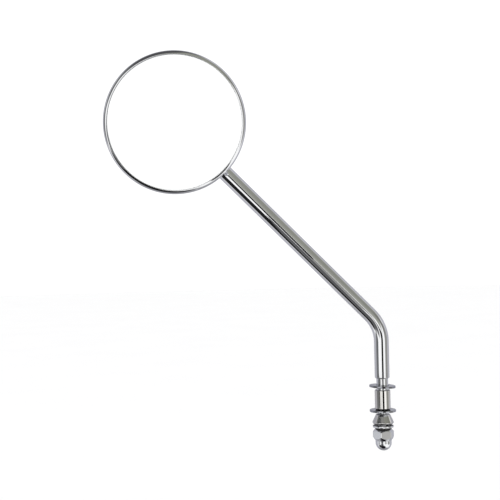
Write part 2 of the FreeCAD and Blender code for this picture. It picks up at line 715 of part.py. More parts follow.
def make_spacer_sleeve():
    body = add_body("spacer_sleeve", at_height(dim("sleeve_top") - dim("sleeve_length")))
    edge = "Dims.sleeve_chamfer"
    revolve(body, "sleeve", [
        ("Dims.sleeve_bore", "0"),
        (f"Dims.sleeve_radius - {edge}", "0"),
        ("Dims.sleeve_radius", edge),
        ("Dims.sleeve_radius", f"Dims.sleeve_length - {edge}"),
        (f"Dims.sleeve_radius - {edge}", "Dims.sleeve_length"),
        ("Dims.sleeve_bore", "Dims.sleeve_length"),
    ])
    return body


def make_tapered_bushing():
    body = add_body("tapered_bushing", at_height(dim("bushing_top") - dim("bushing_height")))
    revolve(body, "bushing", [
        ("Dims.bushing_bore", "0"),
        ("Dims.bushing_foot_radius", "0"),
        ("Dims.bushing_radius", "Dims.bushing_height - Dims.bushing_taper - Dims.bushing_land"),
        ("Dims.bushing_radius", "Dims.bushing_height - Dims.bushing_taper"),
        ("Dims.bushing_top_radius", "Dims.bushing_height"),
        ("Dims.bushing_bore", "Dims.bushing_height"),
    ])
    return body


def make_lock_washer():
    """A ring cut through by a slanting slit on its +X side."""
    place = at_height(dim("nut_top"))
    body = ring("lock_washer", place, "Dims.lock_washer_radius", "Dims.lock_washer_bore",
                "Dims.lock_washer_thickness")
    slit = add_sketch(body, "slit_outline", "YZ_Plane")
    raise_sketch(slit, "Dims.lock_washer_bore - Dims.overrun")
    width = "Dims.lock_washer_slit"
    draw_outline(slit, [
        (f"-{width}", "-Dims.overrun"),
        ("0", "-Dims.overrun"),
        (width, "Dims.lock_washer_thickness + Dims.overrun"),
        ("0", "Dims.lock_washer_thickness + Dims.overrun"),
    ])
    pocket = body.newObject("PartDesign::Pocket", "slit")
    pocket.Profile = slit
    pocket.setExpression("Length", "Dims.lock_washer_radius - Dims.lock_washer_bore + 2 * Dims.overrun")
    pocket.Reversed = True
    return body


def make_acorn_nut():
    """A round collar, a hexagon with both ends bevelled, a dome and a blind bore."""
    body = add_body("acorn_nut", at_height(dim("nut_top"), turn=dim("nut_turn")))
    outline = add_sketch(body, "hexagon_outline", "XY_Plane")
    raise_sketch(outline, "-Dims.nut_hex_height")
    draw_hexagon(outline, "Dims.nut_across_flats")
    pad(body, "hexagon", outline, "Dims.nut_hex_height")
    face = "Dims.nut_face_radius"
    beyond = "(Dims.nut_across_flats / sqrt(3) + Dims.overrun)"
    revolve(body, "collar_and_upper_bevel", [
        (face, "0"),
        (face, "-Dims.nut_collar_height"),
        (beyond, f"-Dims.nut_collar_height - Dims.nut_upper_bevel * ({beyond} - {face})"),
        (beyond, "0"),
    ], cut=True)
    revolve(body, "lower_bevel", [
        (face, "-Dims.nut_hex_height"),
        (beyond, "-Dims.nut_hex_height"),
        (beyond, f"-Dims.nut_hex_height + Dims.nut_lower_bevel * ({beyond} - {face})"),
    ], cut=True)
    neck = "(Dims.nut_hex_height + Dims.nut_dome_neck)"
    revolve(body, "dome", [
        ("0", f"-({neck} + Dims.nut_dome_radius)", "Dims.nut_dome_radius", "right"),
        ("Dims.nut_dome_radius", f"-{neck}"),
        ("Dims.nut_dome_radius", "Dims.overrun - Dims.nut_hex_height"),
        ("0", "Dims.overrun - Dims.nut_hex_height"),
    ])
    bore = body.newObject("PartDesign::SubtractiveCylinder", "blind_bore")
    bore.setExpression("Radius", "Dims.stud_radius + Dims.thread_clearance")
    bore.setExpression("Height", "Dims.nut_bore_depth + Dims.overrun")
    bore.setExpression("Placement.Base.z", "-Dims.nut_bore_depth")
    return body


# -------------------------------------------------------------------- output

def check_document():
    for item in doc.Objects:
        for state in item.State:
            if state in ("Invalid", "Error"):
                raise RuntimeError(f"{item.Label} is {state}")


def write_nodes(nodes):
    os.makedirs("parts", exist_ok=True)
    for node in nodes:
        shape = node.Shape
        if shape.isNull() or not shape.isValid():
            raise RuntimeError(f"{node.Label} has no valid shape")
    for node in nodes:
        node.Shape.exportStep(f"parts/{node.Label}.step")
        box = node.Shape.BoundBox
        print(f"{node.Label:20s} solids {len(node.Shape.Solids)} volume {node.Shape.Volume:10.2f}"
              f"  x {box.XMin:8.2f} {box.XMax:8.2f}  y {box.YMin:7.2f} {box.YMax:7.2f}"
              f"  z {box.ZMin:8.2f} {box.ZMax:8.2f}")


nodes = [
    make_stem(),
    make_clamp_plate_front(),
    make_clamp_plate_rear(),
    make_clamp_screws(),
    make_clamp_washers(),
    make_clamp_nuts(),
    make_ball_seat("ball_seat_front", "Dims.seat_split", "Dims.seat_mouth", front=True),
    make_ball_seat("ball_seat_rear", "Dims.seat_split", "Dims.seat_back", front=False),
    make_ball_stud(),
    make_stud_washer(),
    make_stud_nut(),
    make_mirror_shell(),
    make_reinforcing_disc(),
    make_backing_pad(),
    make_mirror_glass(),
    make_glass_gasket(),
    make_bezel_ring(),
    make_upper_washer(),
    make_spacer_sleeve(),
    make_lower_washer(),
    make_tapered_bushing(),
    make_lock_washer(),
    make_acorn_nut(),
]
doc.recompute()
check_document()
write_nodes(nodes)
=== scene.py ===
import json
import math

import bmesh
import bpy
from mathutils import Matrix, Vector


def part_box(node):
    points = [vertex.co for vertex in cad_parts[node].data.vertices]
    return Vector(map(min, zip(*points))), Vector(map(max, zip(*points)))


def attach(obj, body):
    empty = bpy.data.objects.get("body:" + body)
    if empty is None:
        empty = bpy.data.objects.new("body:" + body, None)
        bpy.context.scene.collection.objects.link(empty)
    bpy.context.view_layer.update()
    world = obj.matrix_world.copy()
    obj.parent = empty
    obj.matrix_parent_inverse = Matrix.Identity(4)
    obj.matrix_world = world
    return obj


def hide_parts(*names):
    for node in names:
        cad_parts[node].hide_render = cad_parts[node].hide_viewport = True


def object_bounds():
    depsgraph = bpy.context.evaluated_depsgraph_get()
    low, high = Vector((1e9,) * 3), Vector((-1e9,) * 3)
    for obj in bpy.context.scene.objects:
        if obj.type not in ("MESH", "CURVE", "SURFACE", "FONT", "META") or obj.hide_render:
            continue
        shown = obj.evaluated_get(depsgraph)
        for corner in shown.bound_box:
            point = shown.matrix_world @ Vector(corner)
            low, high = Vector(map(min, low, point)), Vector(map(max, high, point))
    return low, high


# Looks of a round handlebar mirror: chrome bar, ball clamp, dished head, flat
# glass, and the hardware on its stud. Metres, in the frame of the CAD model.

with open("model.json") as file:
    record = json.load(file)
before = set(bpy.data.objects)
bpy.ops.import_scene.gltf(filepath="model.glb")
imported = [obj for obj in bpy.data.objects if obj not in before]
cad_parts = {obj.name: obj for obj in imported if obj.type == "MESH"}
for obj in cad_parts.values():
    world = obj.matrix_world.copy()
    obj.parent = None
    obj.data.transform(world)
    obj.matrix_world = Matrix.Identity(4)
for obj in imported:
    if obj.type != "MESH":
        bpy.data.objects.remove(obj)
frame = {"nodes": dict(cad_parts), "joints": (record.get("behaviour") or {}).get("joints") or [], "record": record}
cad_low, cad_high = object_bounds()

MM = 0.001
X_AXIS = Vector((1, 0, 0))
Y_AXIS = Vector((0, 1, 0))
Z_AXIS = Vector((0, 0, 1))


# ---- the CAD frame

def joint(name):
    return next(j for j in frame["joints"] if j["name"] == name)


def centre_of(node):
    low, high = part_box(node)
    return (low + high) / 2


def place_at(origin, z_axis, x_hint):
    """A local frame: Z along z_axis, X as near to x_hint as it can be."""
    z = z_axis.normalized()
    x = (x_hint - z * x_hint.dot(z)).normalized()
    y = z.cross(x)
    matrix = Matrix((x, y, z)).transposed().to_4x4()
    matrix.translation = origin
    return matrix


def extent(node, place):
    """(lowest, highest, smallest radius, largest radius) of a node about a frame's Z axis."""
    inverse = place.inverted()
    points = [inverse @ v.co for v in frame["nodes"][node].data.vertices]
    heights = [p.z for p in points]
    radii = [math.hypot(p.x, p.y) for p in points]
    return min(heights), max(heights), min(radii), max(radii)


ball_centre = Vector(joint("head_spin")["pos_m"])
glass_facing = Vector(joint("head_spin")["axis"]).normalized()
to_screws = centre_of("clamp_screws") - ball_centre
down_bar = Vector((to_screws.x, 0, to_screws.z)).normalized()

STUD = Matrix.Identity(4)
HEAD = place_at(ball_centre, glass_facing, down_bar)
CLAMP = place_at(ball_centre, -Y_AXIS, down_bar)
SEAT = place_at(ball_centre, Vector(joint("head_lean")["axis"]).cross(Z_AXIS), X_AXIS)


# ---- mesh building

def add_object(name, mesh):
    item = bpy.data.objects.new(name, mesh)
    bpy.context.scene.collection.objects.link(item)
    return item


def rounded(corners, closed, steps=5):
    """Corners are (a, b) or (a, b, radius). Each radius becomes a smooth curve."""
    result = []
    count = len(corners)
    for index, corner in enumerate(corners):
        here = Vector(corner[:2])
        radius = corner[2] if len(corner) > 2 else 0.0
        at_end = not closed and index in (0, count - 1)
        if radius <= 0 or at_end:
            result.append(here)
            continue
        before = Vector(corners[index - 1][:2]) - here
        after = Vector(corners[(index + 1) % count][:2]) - here
        half_angle = before.angle(after) / 2
        cut = min(radius / math.tan(half_angle), before.length * 0.49, after.length * 0.49)
        start = here + before.normalized() * cut
        end = here + after.normalized() * cut
        for step in range(steps + 1):
            part = step / steps
            result.append(start * (1 - part) ** 2 + here * (2 * part * (1 - part)) + end * part ** 2)
    return result


def skin(builder, rows, closed):
    """Faces between rows of points. A row of one point is a pole."""
    rings = [[builder.verts.new(p) for p in row] for row in rows]
    pairs = list(zip(rings, rings[1:]))
    if closed:
        pairs.append((rings[-1], rings[0]))
    for lower, upper in pairs:
        count = max(len(lower), len(upper))
        for index in range(count):
            following = (index + 1) % count
            if len(lower) == 1 and len(upper) == 1:
                continue
            if len(lower) == 1:
                corners = (lower[0], upper[following], upper[index])
            elif len(upper) == 1:
                corners = (lower[index], lower[following], upper[0])
            else:
                corners = (lower[index], lower[following], upper[following], upper[index])
            builder.faces.new(corners)


def finish_mesh(name, builder):
    """Outward normals, smooth shading weighted by face area."""
    bmesh.ops.remove_doubles(builder, verts=builder.verts, dist=1e-7)
    bmesh.ops.recalc_face_normals(builder, faces=builder.faces)
    mesh = bpy.data.meshes.new(name)
    builder.to_mesh(mesh)
    builder.free()
    for face in mesh.polygons:
        face.use_smooth = True
    item = add_object(name, mesh)
    weighted = item.modifiers.new("weighted", "WEIGHTED_NORMAL")
    weighted.keep_sharp = True
    return item


def skinned(name, rows, closed=False):
    builder = bmesh.new()
    skin(builder, rows, closed)
    return finish_mesh(name, builder)


def circle_row(place, radius, height, segments):
    """A ring of points round a frame's Z axis, or one point where the radius is nil."""
    if radius < 1e-8:
        return [place @ Vector((0, 0, height))]
    turn = 2 * math.pi / segments
    return [place @ Vector((radius * math.cos(i * turn), radius * math.sin(i * turn), height))
            for i in range(segments)]


def lathe_into(builder, place, corners, closed=True, segments=128):
    rows = [circle_row(place, point.x, point.y, segments) for point in rounded(corners, closed)]
    skin(builder, rows, closed)


def lathe(name, place, corners, closed=True, segments=128):
    """A turned piece. Corners are (radius, height) or (radius, height, rounding)."""
    builder = bmesh.new()
    lathe_into(builder, place, corners, closed, segments)
    return finish_mesh(name, builder)


HEXAGON_CORNER = 0.035
HEXAGON_SEGMENTS = 144


def hexagon_radius(angle, apothem, corner_rounding):
    """Distance to a hexagon with rounded corners, flats at +-30 degrees about each corner."""
    sector = math.radians(60)
    within = (angle + sector / 2) % sector - sector / 2
    flat = apothem / math.cos(sector / 2 - abs(within))
    corner = apothem / math.cos(sector / 2)
    limit = corner - corner_rounding
    excess = max(flat - limit, 0.0)
    return flat - excess * excess / (excess + corner_rounding)


def hexagon_rows(place, apothem, low, high, face, low_slope, high_slope,
                 segments=HEXAGON_SEGMENTS):
    """Rows up the outside of a hexagon. Conical bevels start at the face radius on
    both faces and cut the corners away, so each flat ends in an arc."""
    turn = 2 * math.pi / segments
    angles = [index * turn for index in range(segments)]
    radii = [hexagon_radius(angle, apothem, apothem * HEXAGON_CORNER) for angle in angles]

    def row(height_at, radius_at):
        return [place @ Vector((radius_at(r) * math.cos(a), radius_at(r) * math.sin(a), height_at(r)))
                for a, r in zip(angles, radii)]

    return [
        row(lambda r: low, lambda r: face),
        row(lambda r: low + low_slope * (r - face), lambda r: r),
        row(lambda r: high - high_slope * (r - face), lambda r: r),
        row(lambda r: high, lambda r: face),
    ]


def bevel_edges(item, width):
    """Rounds the edges at which the surface turns by more than 28 degrees."""
    bevel = item.modifiers.new("edge_rounding", "BEVEL")
    bevel.width = width
    bevel.segments = 3
    bevel.limit_method = "ANGLE"
    bevel.angle_limit = math.radians(28)
    item.modifiers.move(len(item.modifiers) - 1, 0)


NUT_FACE = 0.95
NUT_BEVEL_SLOPE = 0.58
NUT_COUNTERSINK = 0.12


def nut_into(builder, place, apothem, low, high, bore):
    """A plain hexagon nut with both faces bevelled and a countersunk bore."""
    rows = hexagon_rows(place, apothem, low, high, apothem * NUT_FACE, NUT_BEVEL_SLOPE, NUT_BEVEL_SLOPE)
    depth = bore * NUT_COUNTERSINK
    mouth = bore + depth
    outline = [(high, mouth), (high - depth, bore), (low + depth, bore), (low, mouth)]
    for height, radius in outline:
        rows.append(circle_row(place, radius, height, HEXAGON_SEGMENTS))
    skin(builder, rows, closed=True)


def plate_from_outline(name, place, outlines, low, high, edge):
    """A flat plate with holes and rounded edges, from closed outlines in its plane."""
    curve = bpy.data.curves.new(name + "_outline", "CURVE")
    curve.dimensions = "2D"
    curve.fill_mode = "BOTH"
    curve.extrude = (high - low) / 2 - edge
    curve.bevel_depth = edge
    curve.bevel_resolution = 3
    curve.offset = -edge
    for outline in outlines:
        spline = curve.splines.new("POLY")
        spline.points.add(len(outline) - 1)
        for point, (x, y) in zip(spline.points, outline):
            point.co = (x, y, 0, 1)
        spline.use_cyclic_u = True
    source = add_object(name + "_source", curve)
    bpy.context.view_layer.update()
    evaluated = source.evaluated_get(bpy.context.evaluated_depsgraph_get())
    mesh = bpy.data.meshes.new_from_object(evaluated)
    bpy.data.objects.remove(source)
    mesh.transform(place @ Matrix.Translation((0, 0, (low + high) / 2)))
    return mesh


def round_outline(x, y, radius, count=48):
    turn = 2 * math.pi / count
    return [(x + radius * math.cos(i * turn), y + radius * math.sin(i * turn)) for i in range(count)]


def settle(piece, body, node, slot, *materials):
    """Ties a finished piece to its body, its CAD node and its materials. The slot is not used."""
    piece.data.materials.clear()
    for item in materials:
        piece.data.materials.append(item)
    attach(piece, body)
    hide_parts(node)
    return piece


# ---- materials

def new_node(tree, kind):
    return tree.nodes.new("ShaderNode" + kind)


class Shader:
    """A material with short calls for adding and joining nodes."""

    def __init__(self, name, base, roughness, metallic=0.0):
        self.material = bpy.data.materials.new(name)
        self.material.use_nodes = True
        self.tree = self.material.node_tree
        self.shader = self.tree.nodes["Principled BSDF"]
        self.shader.inputs["Base Color"].default_value = (*base, 1)
        self.shader.inputs["Roughness"].default_value = roughness
        self.shader.inputs["Metallic"].default_value = metallic
        self.place = self.add("TexCoord").outputs["Object"]
        self.normal = None

    def add(self, kind):
        return new_node(self.tree, kind)

    def link(self, source, target):
        self.tree.links.new(source, target)

    def stretched(self, scale):
        mapping = self.add("Mapping")
        mapping.inputs["Scale"].default_value = scale
        self.link(self.place, mapping.inputs["Vector"])
        return mapping.outputs["Vector"]

    def noise(self, scale, detail=3.0, stretch=None):
        """Noise whose features are about one metre divided by scale across."""
        node = self.add("TexNoise")
        node.inputs["Scale"].default_value = scale
        node.inputs["Detail"].default_value = detail
        self.link(self.stretched(stretch) if stretch else self.place, node.inputs["Vector"])
        return node.outputs["Fac"]

    def graded(self, source, low, high, from_low=0.35, from_high=0.65):
        node = self.add("MapRange")
        node.inputs["From Min"].default_value = from_low
        node.inputs["From Max"].default_value = from_high
        node.inputs["To Min"].default_value = low
        node.inputs["To Max"].default_value = high
        self.link(source, node.inputs["Value"])
        return node.outputs["Result"]

    def roughness_from(self, source, low, high):
        self.link(self.graded(source, low, high), self.shader.inputs["Roughness"])

    def colour_between(self, source, first, second):
        node = self.add("Mix")
        node.data_type = "RGBA"
        node.inputs["A"].default_value = (*first, 1)
        node.inputs["B"].default_value = (*second, 1)
        self.link(self.graded(source, 0.0, 1.0), node.inputs["Factor"])
        self.link(node.outputs["Result"], self.shader.inputs["Base Color"])

    def bump(self, source, distance):
        node = self.add("Bump")
        node.inputs["Distance"].default_value = distance
        node.inputs["Strength"].default_value = 1.0
        self.link(source, node.inputs["Height"])
        if self.normal:
            self.link(self.normal, node.inputs["Normal"])
        self.normal = node.outputs["Normal"]
        self.link(self.normal, self.shader.inputs["Normal"])


def chrome(name, base, shade, rough_low, rough_high, wave):
    """Bright plate: faint haze, hairline scratches and a slow waviness."""
    look = Shader(name, base, rough_low, metallic=1.0)
    haze = look.noise(70, 4.0)
    look.roughness_from(haze, rough_low, rough_high)
    look.colour_between(look.noise(45, 5.0), base, shade)
    look.bump(look.noise(55, 1.0), wave)
    look.bump(look.noise(900, 2.0, stretch=(1.0, 1.0, 0.08)), wave * 0.02)
    return look.material


def zinc(name, base, shade):
    """Bright zinc on steel: soft sheen with a bluish and straw-coloured mottle."""
    look = Shader(name, base, 0.3, metallic=1.0)
    look.roughness_from(look.noise(600, 4.0), 0.22, 0.4)
    look.colour_between(look.noise(220, 4.0), base, shade)
    look.bump(look.noise(1500, 3.0), 0.02 * MM)
    return look.material


def silvered_glass():
    """The reflecting face: perfectly sharp, with the faintest mottle in its silver."""
    look = Shader("mirror_face", (0.96, 0.965, 0.965), 0.0, metallic=1.0)
    look.colour_between(look.noise(30, 4.0), (0.965, 0.97, 0.97), (0.945, 0.952, 0.952))
    return look.material


def ground_glass_edge():
    look = Shader("glass_edge", (0.42, 0.62, 0.55), 0.35)
    look.colour_between(look.noise(300, 3.0), (0.42, 0.62, 0.55), (0.60, 0.76, 0.70))
    look.bump(look.noise(3000, 2.0), 0.03 * MM)
    look.shader.inputs["IOR"].default_value = 1.52
    return look.material


def mirror_backing_paint():
    look = Shader("backing_paint", (0.16, 0.17, 0.19), 0.5)
    look.colour_between(look.noise(250, 4.0), (0.15, 0.16, 0.18), (0.20, 0.21, 0.23))
    look.bump(look.noise(1200, 3.0), 0.02 * MM)
    return look.material


def painted_shade_steel():
    """Painted shade on bare end faces: near-black steel standing in for the shade and dark reflections in the gaps
    between the hardware.
    """
    look = Shader("painted_shade_face", (0.035, 0.035, 0.035), 0.35, metallic=0.6)
    look.colour_between(look.noise(700, 4.0), (0.025, 0.025, 0.026), (0.06, 0.058, 0.055))
    look.roughness_from(look.noise(900, 3.0), 0.28, 0.45)
    look.bump(look.noise(1800, 3.0), 0.02 * MM)
    return look.material


def nylon():
    look = Shader("nylon", (0.84, 0.82, 0.75), 0.45)
    look.colour_between(look.noise(240, 3.0), (0.86, 0.84, 0.77), (0.78, 0.76, 0.69))
    look.roughness_from(look.noise(500, 3.0), 0.36, 0.52)
    look.bump(look.noise(1400, 3.0), 0.02 * MM)
    look.shader.inputs["Subsurface Weight"].default_value = 0.12
    look.shader.inputs["Subsurface Scale"].default_value = 0.002
    return look.material


def vinyl():
    look = Shader("black_vinyl", (0.03, 0.03, 0.032), 0.5)
    look.colour_between(look.noise(400, 3.0), (0.022, 0.022, 0.024), (0.055, 0.055, 0.058))
    look.roughness_from(look.noise(700, 3.0), 0.42, 0.6)
    look.bump(look.noise(2000, 3.0), 0.03 * MM)
    return look.material


def felt():
    look = Shader("pressed_felt", (0.17, 0.16, 0.15), 0.95)
    look.colour_between(look.noise(1800, 5.0), (0.12, 0.115, 0.11), (0.25, 0.24, 0.225))
    look.bump(look.noise(2600, 6.0), 0.15 * MM)
    look.shader.inputs["Sheen Weight"].default_value = 0.4
    look.shader.inputs["Sheen Roughness"].default_value = 0.5
    return look.material


CHROME_BASE = (0.87, 0.875, 0.885)
CHROME_SHADE = (0.80, 0.805, 0.815)
bar_chrome = chrome("bar_chrome", CHROME_BASE, CHROME_SHADE, 0.03, 0.06, 0.015 * MM)
rim_chrome = chrome("rim_chrome", CHROME_BASE, CHROME_SHADE, 0.03, 0.06, 0.008 * MM)
dish_chrome = chrome("dish_chrome", (0.86, 0.865, 0.875), (0.79, 0.795, 0.805), 0.05, 0.1, 0.012 * MM)
plate_chrome = chrome("plate_chrome", (0.80, 0.805, 0.81), (0.72, 0.725, 0.73), 0.12, 0.2, 0.012 * MM)
washer_chrome = chrome("washer_chrome", (0.50, 0.51, 0.54), (0.36, 0.37, 0.40), 0.06, 0.13, 0.02 * MM)
sleeve_chrome = chrome("sleeve_chrome", (0.86, 0.845, 0.81), (0.79, 0.77, 0.74), 0.05, 0.09, 0.012 * MM)
bushing_chrome = chrome("bushing_chrome", (0.74, 0.735, 0.72), (0.62, 0.615, 0.60), 0.08, 0.14, 0.015 * MM)
nut_chrome = chrome("nut_chrome", (0.86, 0.87, 0.885), (0.76, 0.77, 0.785), 0.06, 0.12, 0.015 * MM)
steel = zinc("zinc_plate", (0.64, 0.64, 0.62), (0.52, 0.54, 0.56))
mirror_face = silvered_glass()
glass_edge = ground_glass_edge()
backing_paint = mirror_backing_paint()
# Painted shade for the faces in the gaps of the stud's hardware.
painted_shade_face = painted_shade_steel()
seat_nylon = nylon()
black_vinyl = vinyl()
dark_felt = felt()


# ---- bar and its stud

BEND_RADIUS = 26 * MM
BAR_RADIUS = 5.0 * MM
BAR_END_RADIUS = 5.3 * MM
BAR_END_TO_BALL = 33 * MM
BAR_STEP = 2.0 * MM
THREAD_PITCH = 25.4 * MM / 18
THREAD_DEPTH = 0.62 * MM
THREAD_TOP = -13 * MM
THREAD_LEAD = 1.0 * MM
BAR_SEGMENTS = 96


def make_bar():
    """One piece: threaded stud, smooth neck, shoulder, bend and tapered run."""
    stud_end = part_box("stem")[0].z
    stud_radius = frame["record"]["mounts"][0]["dims"]["r_mm"] * MM
    corner = ball_centre + down_bar * (-ball_centre.x / down_bar.x)
    turn = math.acos(-down_bar.z)
    tangent = BEND_RADIUS * math.tan(turn / 2)
    rise = corner.z - tangent
    arc_length = BEND_RADIUS * turn
    run = (ball_centre - corner).length - tangent - BAR_END_TO_BALL
    bend_centre = Vector((-BEND_RADIUS, 0, rise))
    taper_start = rise + arc_length
    end = taper_start + run

    def along(distance):
        """Position and direction at a distance along the centre line, 0 at the shoulder."""
        if distance <= rise:
            return Vector((0, 0, distance)), Z_AXIS
        if distance <= taper_start:
            angle = (distance - rise) / BEND_RADIUS
            outward = Vector((math.cos(angle), 0, math.sin(angle)))
            return bend_centre + outward * BEND_RADIUS, Vector((-math.sin(angle), 0, math.cos(angle)))
        start = corner - down_bar * tangent
        return start - down_bar * (distance - taper_start), -down_bar

    thread_end = stud_end + THREAD_LEAD
    outline = [
        (0.0, stud_end),
        (stud_radius - 0.9 * MM, stud_end, 0.15 * MM),
        (stud_radius, thread_end, 0.1 * MM),
        (stud_radius, THREAD_TOP, 0.0),
        (stud_radius, 0.0, 0.45 * MM),
        (BAR_RADIUS - 0.5 * MM, 0.0, 0.12 * MM),
        (BAR_RADIUS, 0.5 * MM, 0.3 * MM),
        (BAR_RADIUS, rise, 0.0),
        (BAR_RADIUS, taper_start, 0.0),
        (BAR_END_RADIUS, end - 1.0 * MM, 0.4 * MM),
        (BAR_END_RADIUS - 1.0 * MM, end, 0.2 * MM),
        (0.0, end),
    ]
    stations = with_steps(rounded(outline, closed=False, steps=4), thread_end)
    rows = []
    for radius, distance in stations:
        centre, direction = along(distance)
        across = direction.cross(Y_AXIS)
        if radius < 1e-8:
            rows.append([centre])
            continue
        row = []
        for index in range(BAR_SEGMENTS):
            angle = 2 * math.pi * index / BAR_SEGMENTS
            local = radius - thread_cut(distance, angle, thread_end)
            row.append(centre + Y_AXIS * (local * math.cos(angle)) + across * (local * math.sin(angle)))
        rows.append(row)
    builder = bmesh.new()
    skin(builder, rows, closed=False)
    builder.from_mesh(tongue_mesh())
    return finish_mesh("bar_and_stud", builder)


def with_steps(points, thread_end):
    """Adds stations so that the thread, the bend and the long runs are evenly divided."""
    stations = []
    for first, second in zip(points, points[1:]):
        stations.append((first.x, first.y))
        length = abs(second.y - first.y)
        low, high = sorted((first.y, second.y))
        in_thread = low >= thread_end - 1e-6 and high <= THREAD_TOP + 1e-6
        step = THREAD_PITCH / 10 if in_thread else BAR_STEP
        count = max(int(length / step), 1)
        for index in range(1, count):
            point = first.lerp(second, index / count)
            stations.append((point.x, point.y))
    stations.append((points[-1].x, points[-1].y))
    return stations


def thread_cut(distance, angle, thread_end):
    """Depth of the thread below the stud's surface, fading out at both ends."""
    if distance > THREAD_TOP or distance < thread_end:
        return 0.0
    fade_in = (THREAD_TOP - distance) / (1.5 * THREAD_PITCH)
    fade_out = (distance - thread_end) / (0.5 * THREAD_PITCH)
    fade = min(fade_in, fade_out, 1.0)
    phase = (distance / THREAD_PITCH - angle / (2 * math.pi)) % 1.0
    flank = abs(phase - 0.5) * 2
    return THREAD_DEPTH * fade * min(max((flank - 0.1) / 0.75, 0.0), 1.0)


TONGUE_HALF_WIDTH = 4.8 * MM
TONGUE_TIP = 9.2 * MM
TONGUE_ROOT = 36 * MM
TONGUE_CHAMFER = 1 * MM
SCREW_HEAD_RADIUS = 3.6 * MM
SCREW_SHANK_RADIUS = 2.0 * MM
SCREW_HOLE_RADIUS = 2.15 * MM


def tongue_mesh():
    """The flat end of the bar, between the clamp plates."""
    half_gap = extent("clamp_plate_front", CLAMP)[0] - 0.02 * MM
    outline = [
        (TONGUE_ROOT, -TONGUE_HALF_WIDTH),
        (TONGUE_ROOT, TONGUE_HALF_WIDTH),
        (TONGUE_TIP + TONGUE_CHAMFER, TONGUE_HALF_WIDTH),
        (TONGUE_TIP, TONGUE_HALF_WIDTH - TONGUE_CHAMFER),
        (TONGUE_TIP, TONGUE_CHAMFER - TONGUE_HALF_WIDTH),
        (TONGUE_TIP + TONGUE_CHAMFER, -TONGUE_HALF_WIDTH),
    ]
    holes = [round_outline(x, 0, SCREW_HOLE_RADIUS) for x in screw_places()]
    return plate_from_outline("tongue", CLAMP, [outline, *holes], -half_gap, half_gap, 0.3 * MM)


def screw_places():
    """Distances of the two clamp screws from the ball's centre, along the bar."""
    inverse = CLAMP.inverted()
    xs = [(inverse @ v.co).x for v in frame["nodes"]["clamp_screws"].data.vertices]
    return min(xs) + SCREW_HEAD_RADIUS, max(xs) - SCREW_HEAD_RADIUS


def screw_frames():
    """A frame on each clamp screw's axis."""
    return [CLAMP @ Matrix.Translation((x, 0, 0)) for x in screw_places()]


settle(make_bar(), "stem", "stem", "chrome_bar", bar_chrome)


# ---- ball clamp

PLATE_THICKNESS = 2.0 * MM
PLATE_BIG_END = 11 * MM
PLATE_SMALL_END = 6 * MM
SOCKET_RADIUS = 8.25 * MM


def plate_outline(big, small, distance):
    """Two unequal round ends joined by straight sides that touch both."""
    lean = math.acos((big - small) / distance)
    points = []
    for step in range(33):
        angle = lean + (2 * math.pi - 2 * lean) * step / 32
        points.append((big * math.cos(angle), big * math.sin(angle)))
    for step in range(25):
        angle = -lean + 2 * lean * step / 24
        points.append((distance + small * math.cos(angle), small * math.sin(angle)))
    return points


def socket_mouth(inner):
    """Radius of the opening that the socket leaves in a plate's inner face."""
    return math.sqrt(SOCKET_RADIUS ** 2 - inner ** 2) + 0.75 * MM


def clamp_plate_into(builder, name, inner, bottom, top):
    """The flat of a clamp plate, with its two screw holes and the socket's opening."""
    outline = plate_outline(PLATE_BIG_END, PLATE_SMALL_END, screw_places()[1])
    holes = [round_outline(x, 0, SCREW_HOLE_RADIUS) for x in screw_places()]
    opening = round_outline(0, 0, socket_mouth(inner), 96)
    builder.from_mesh(plate_from_outline(name, CLAMP, [outline, *holes, opening], bottom, top, 0.35 * MM))


def sphere_points(radius, from_height, to_height, steps):
    """Points on a sphere's outline, as (distance from the axis, height)."""
    first = math.asin(max(-1.0, from_height / radius))
    last = math.asin(max(-1.0, to_height / radius))
    points = []
    for step in range(steps + 1):
        angle = first + (last - first) * step / steps
        points.append((radius * math.cos(angle), radius * math.sin(angle)))
    return points


def make_front_plate():
    """Flat plate with a short collar that closes over the front of the seat."""
    inner = extent("clamp_plate_front", CLAMP)[0]
    top = inner + PLATE_THICKNESS
    collar = socket_mouth(inner) + 0.4 * MM
    profile = [(collar, inner), (collar, top)] + sphere_points(SOCKET_RADIUS, top, inner, 6)
    builder = bmesh.new()
    clamp_plate_into(builder, "clamp_front", inner, inner, top)
    lathe_into(builder, CLAMP, profile, segments=96)
    return finish_mesh("clamp_front", builder)


def make_rear_plate():
    """Flat plate with a pressed dome behind the ball, flared where it leaves the flat."""
    low, inner, _, _ = extent("clamp_plate_rear", CLAMP)
    outer = inner - PLATE_THICKNESS
    root = outer - 0.1 * MM
    mouth = socket_mouth(inner)
    dome = sphere_points(-low, low, root, 16)
    inside = sphere_points(SOCKET_RADIUS, inner, -SOCKET_RADIUS, 16)
    dome[0] = (0.0, low)
    inside[-1] = (0.0, -SOCKET_RADIUS)
    profile = dome + [(mouth + 1.3 * MM, root), (mouth + 0.4 * MM, inner)] + inside
    builder = bmesh.new()
    clamp_plate_into(builder, "clamp_rear", inner, outer, inner)
    lathe_into(builder, CLAMP, profile, closed=False, segments=96)
    return finish_mesh("clamp_rear", builder)


SCREW_SEGMENTS = 72


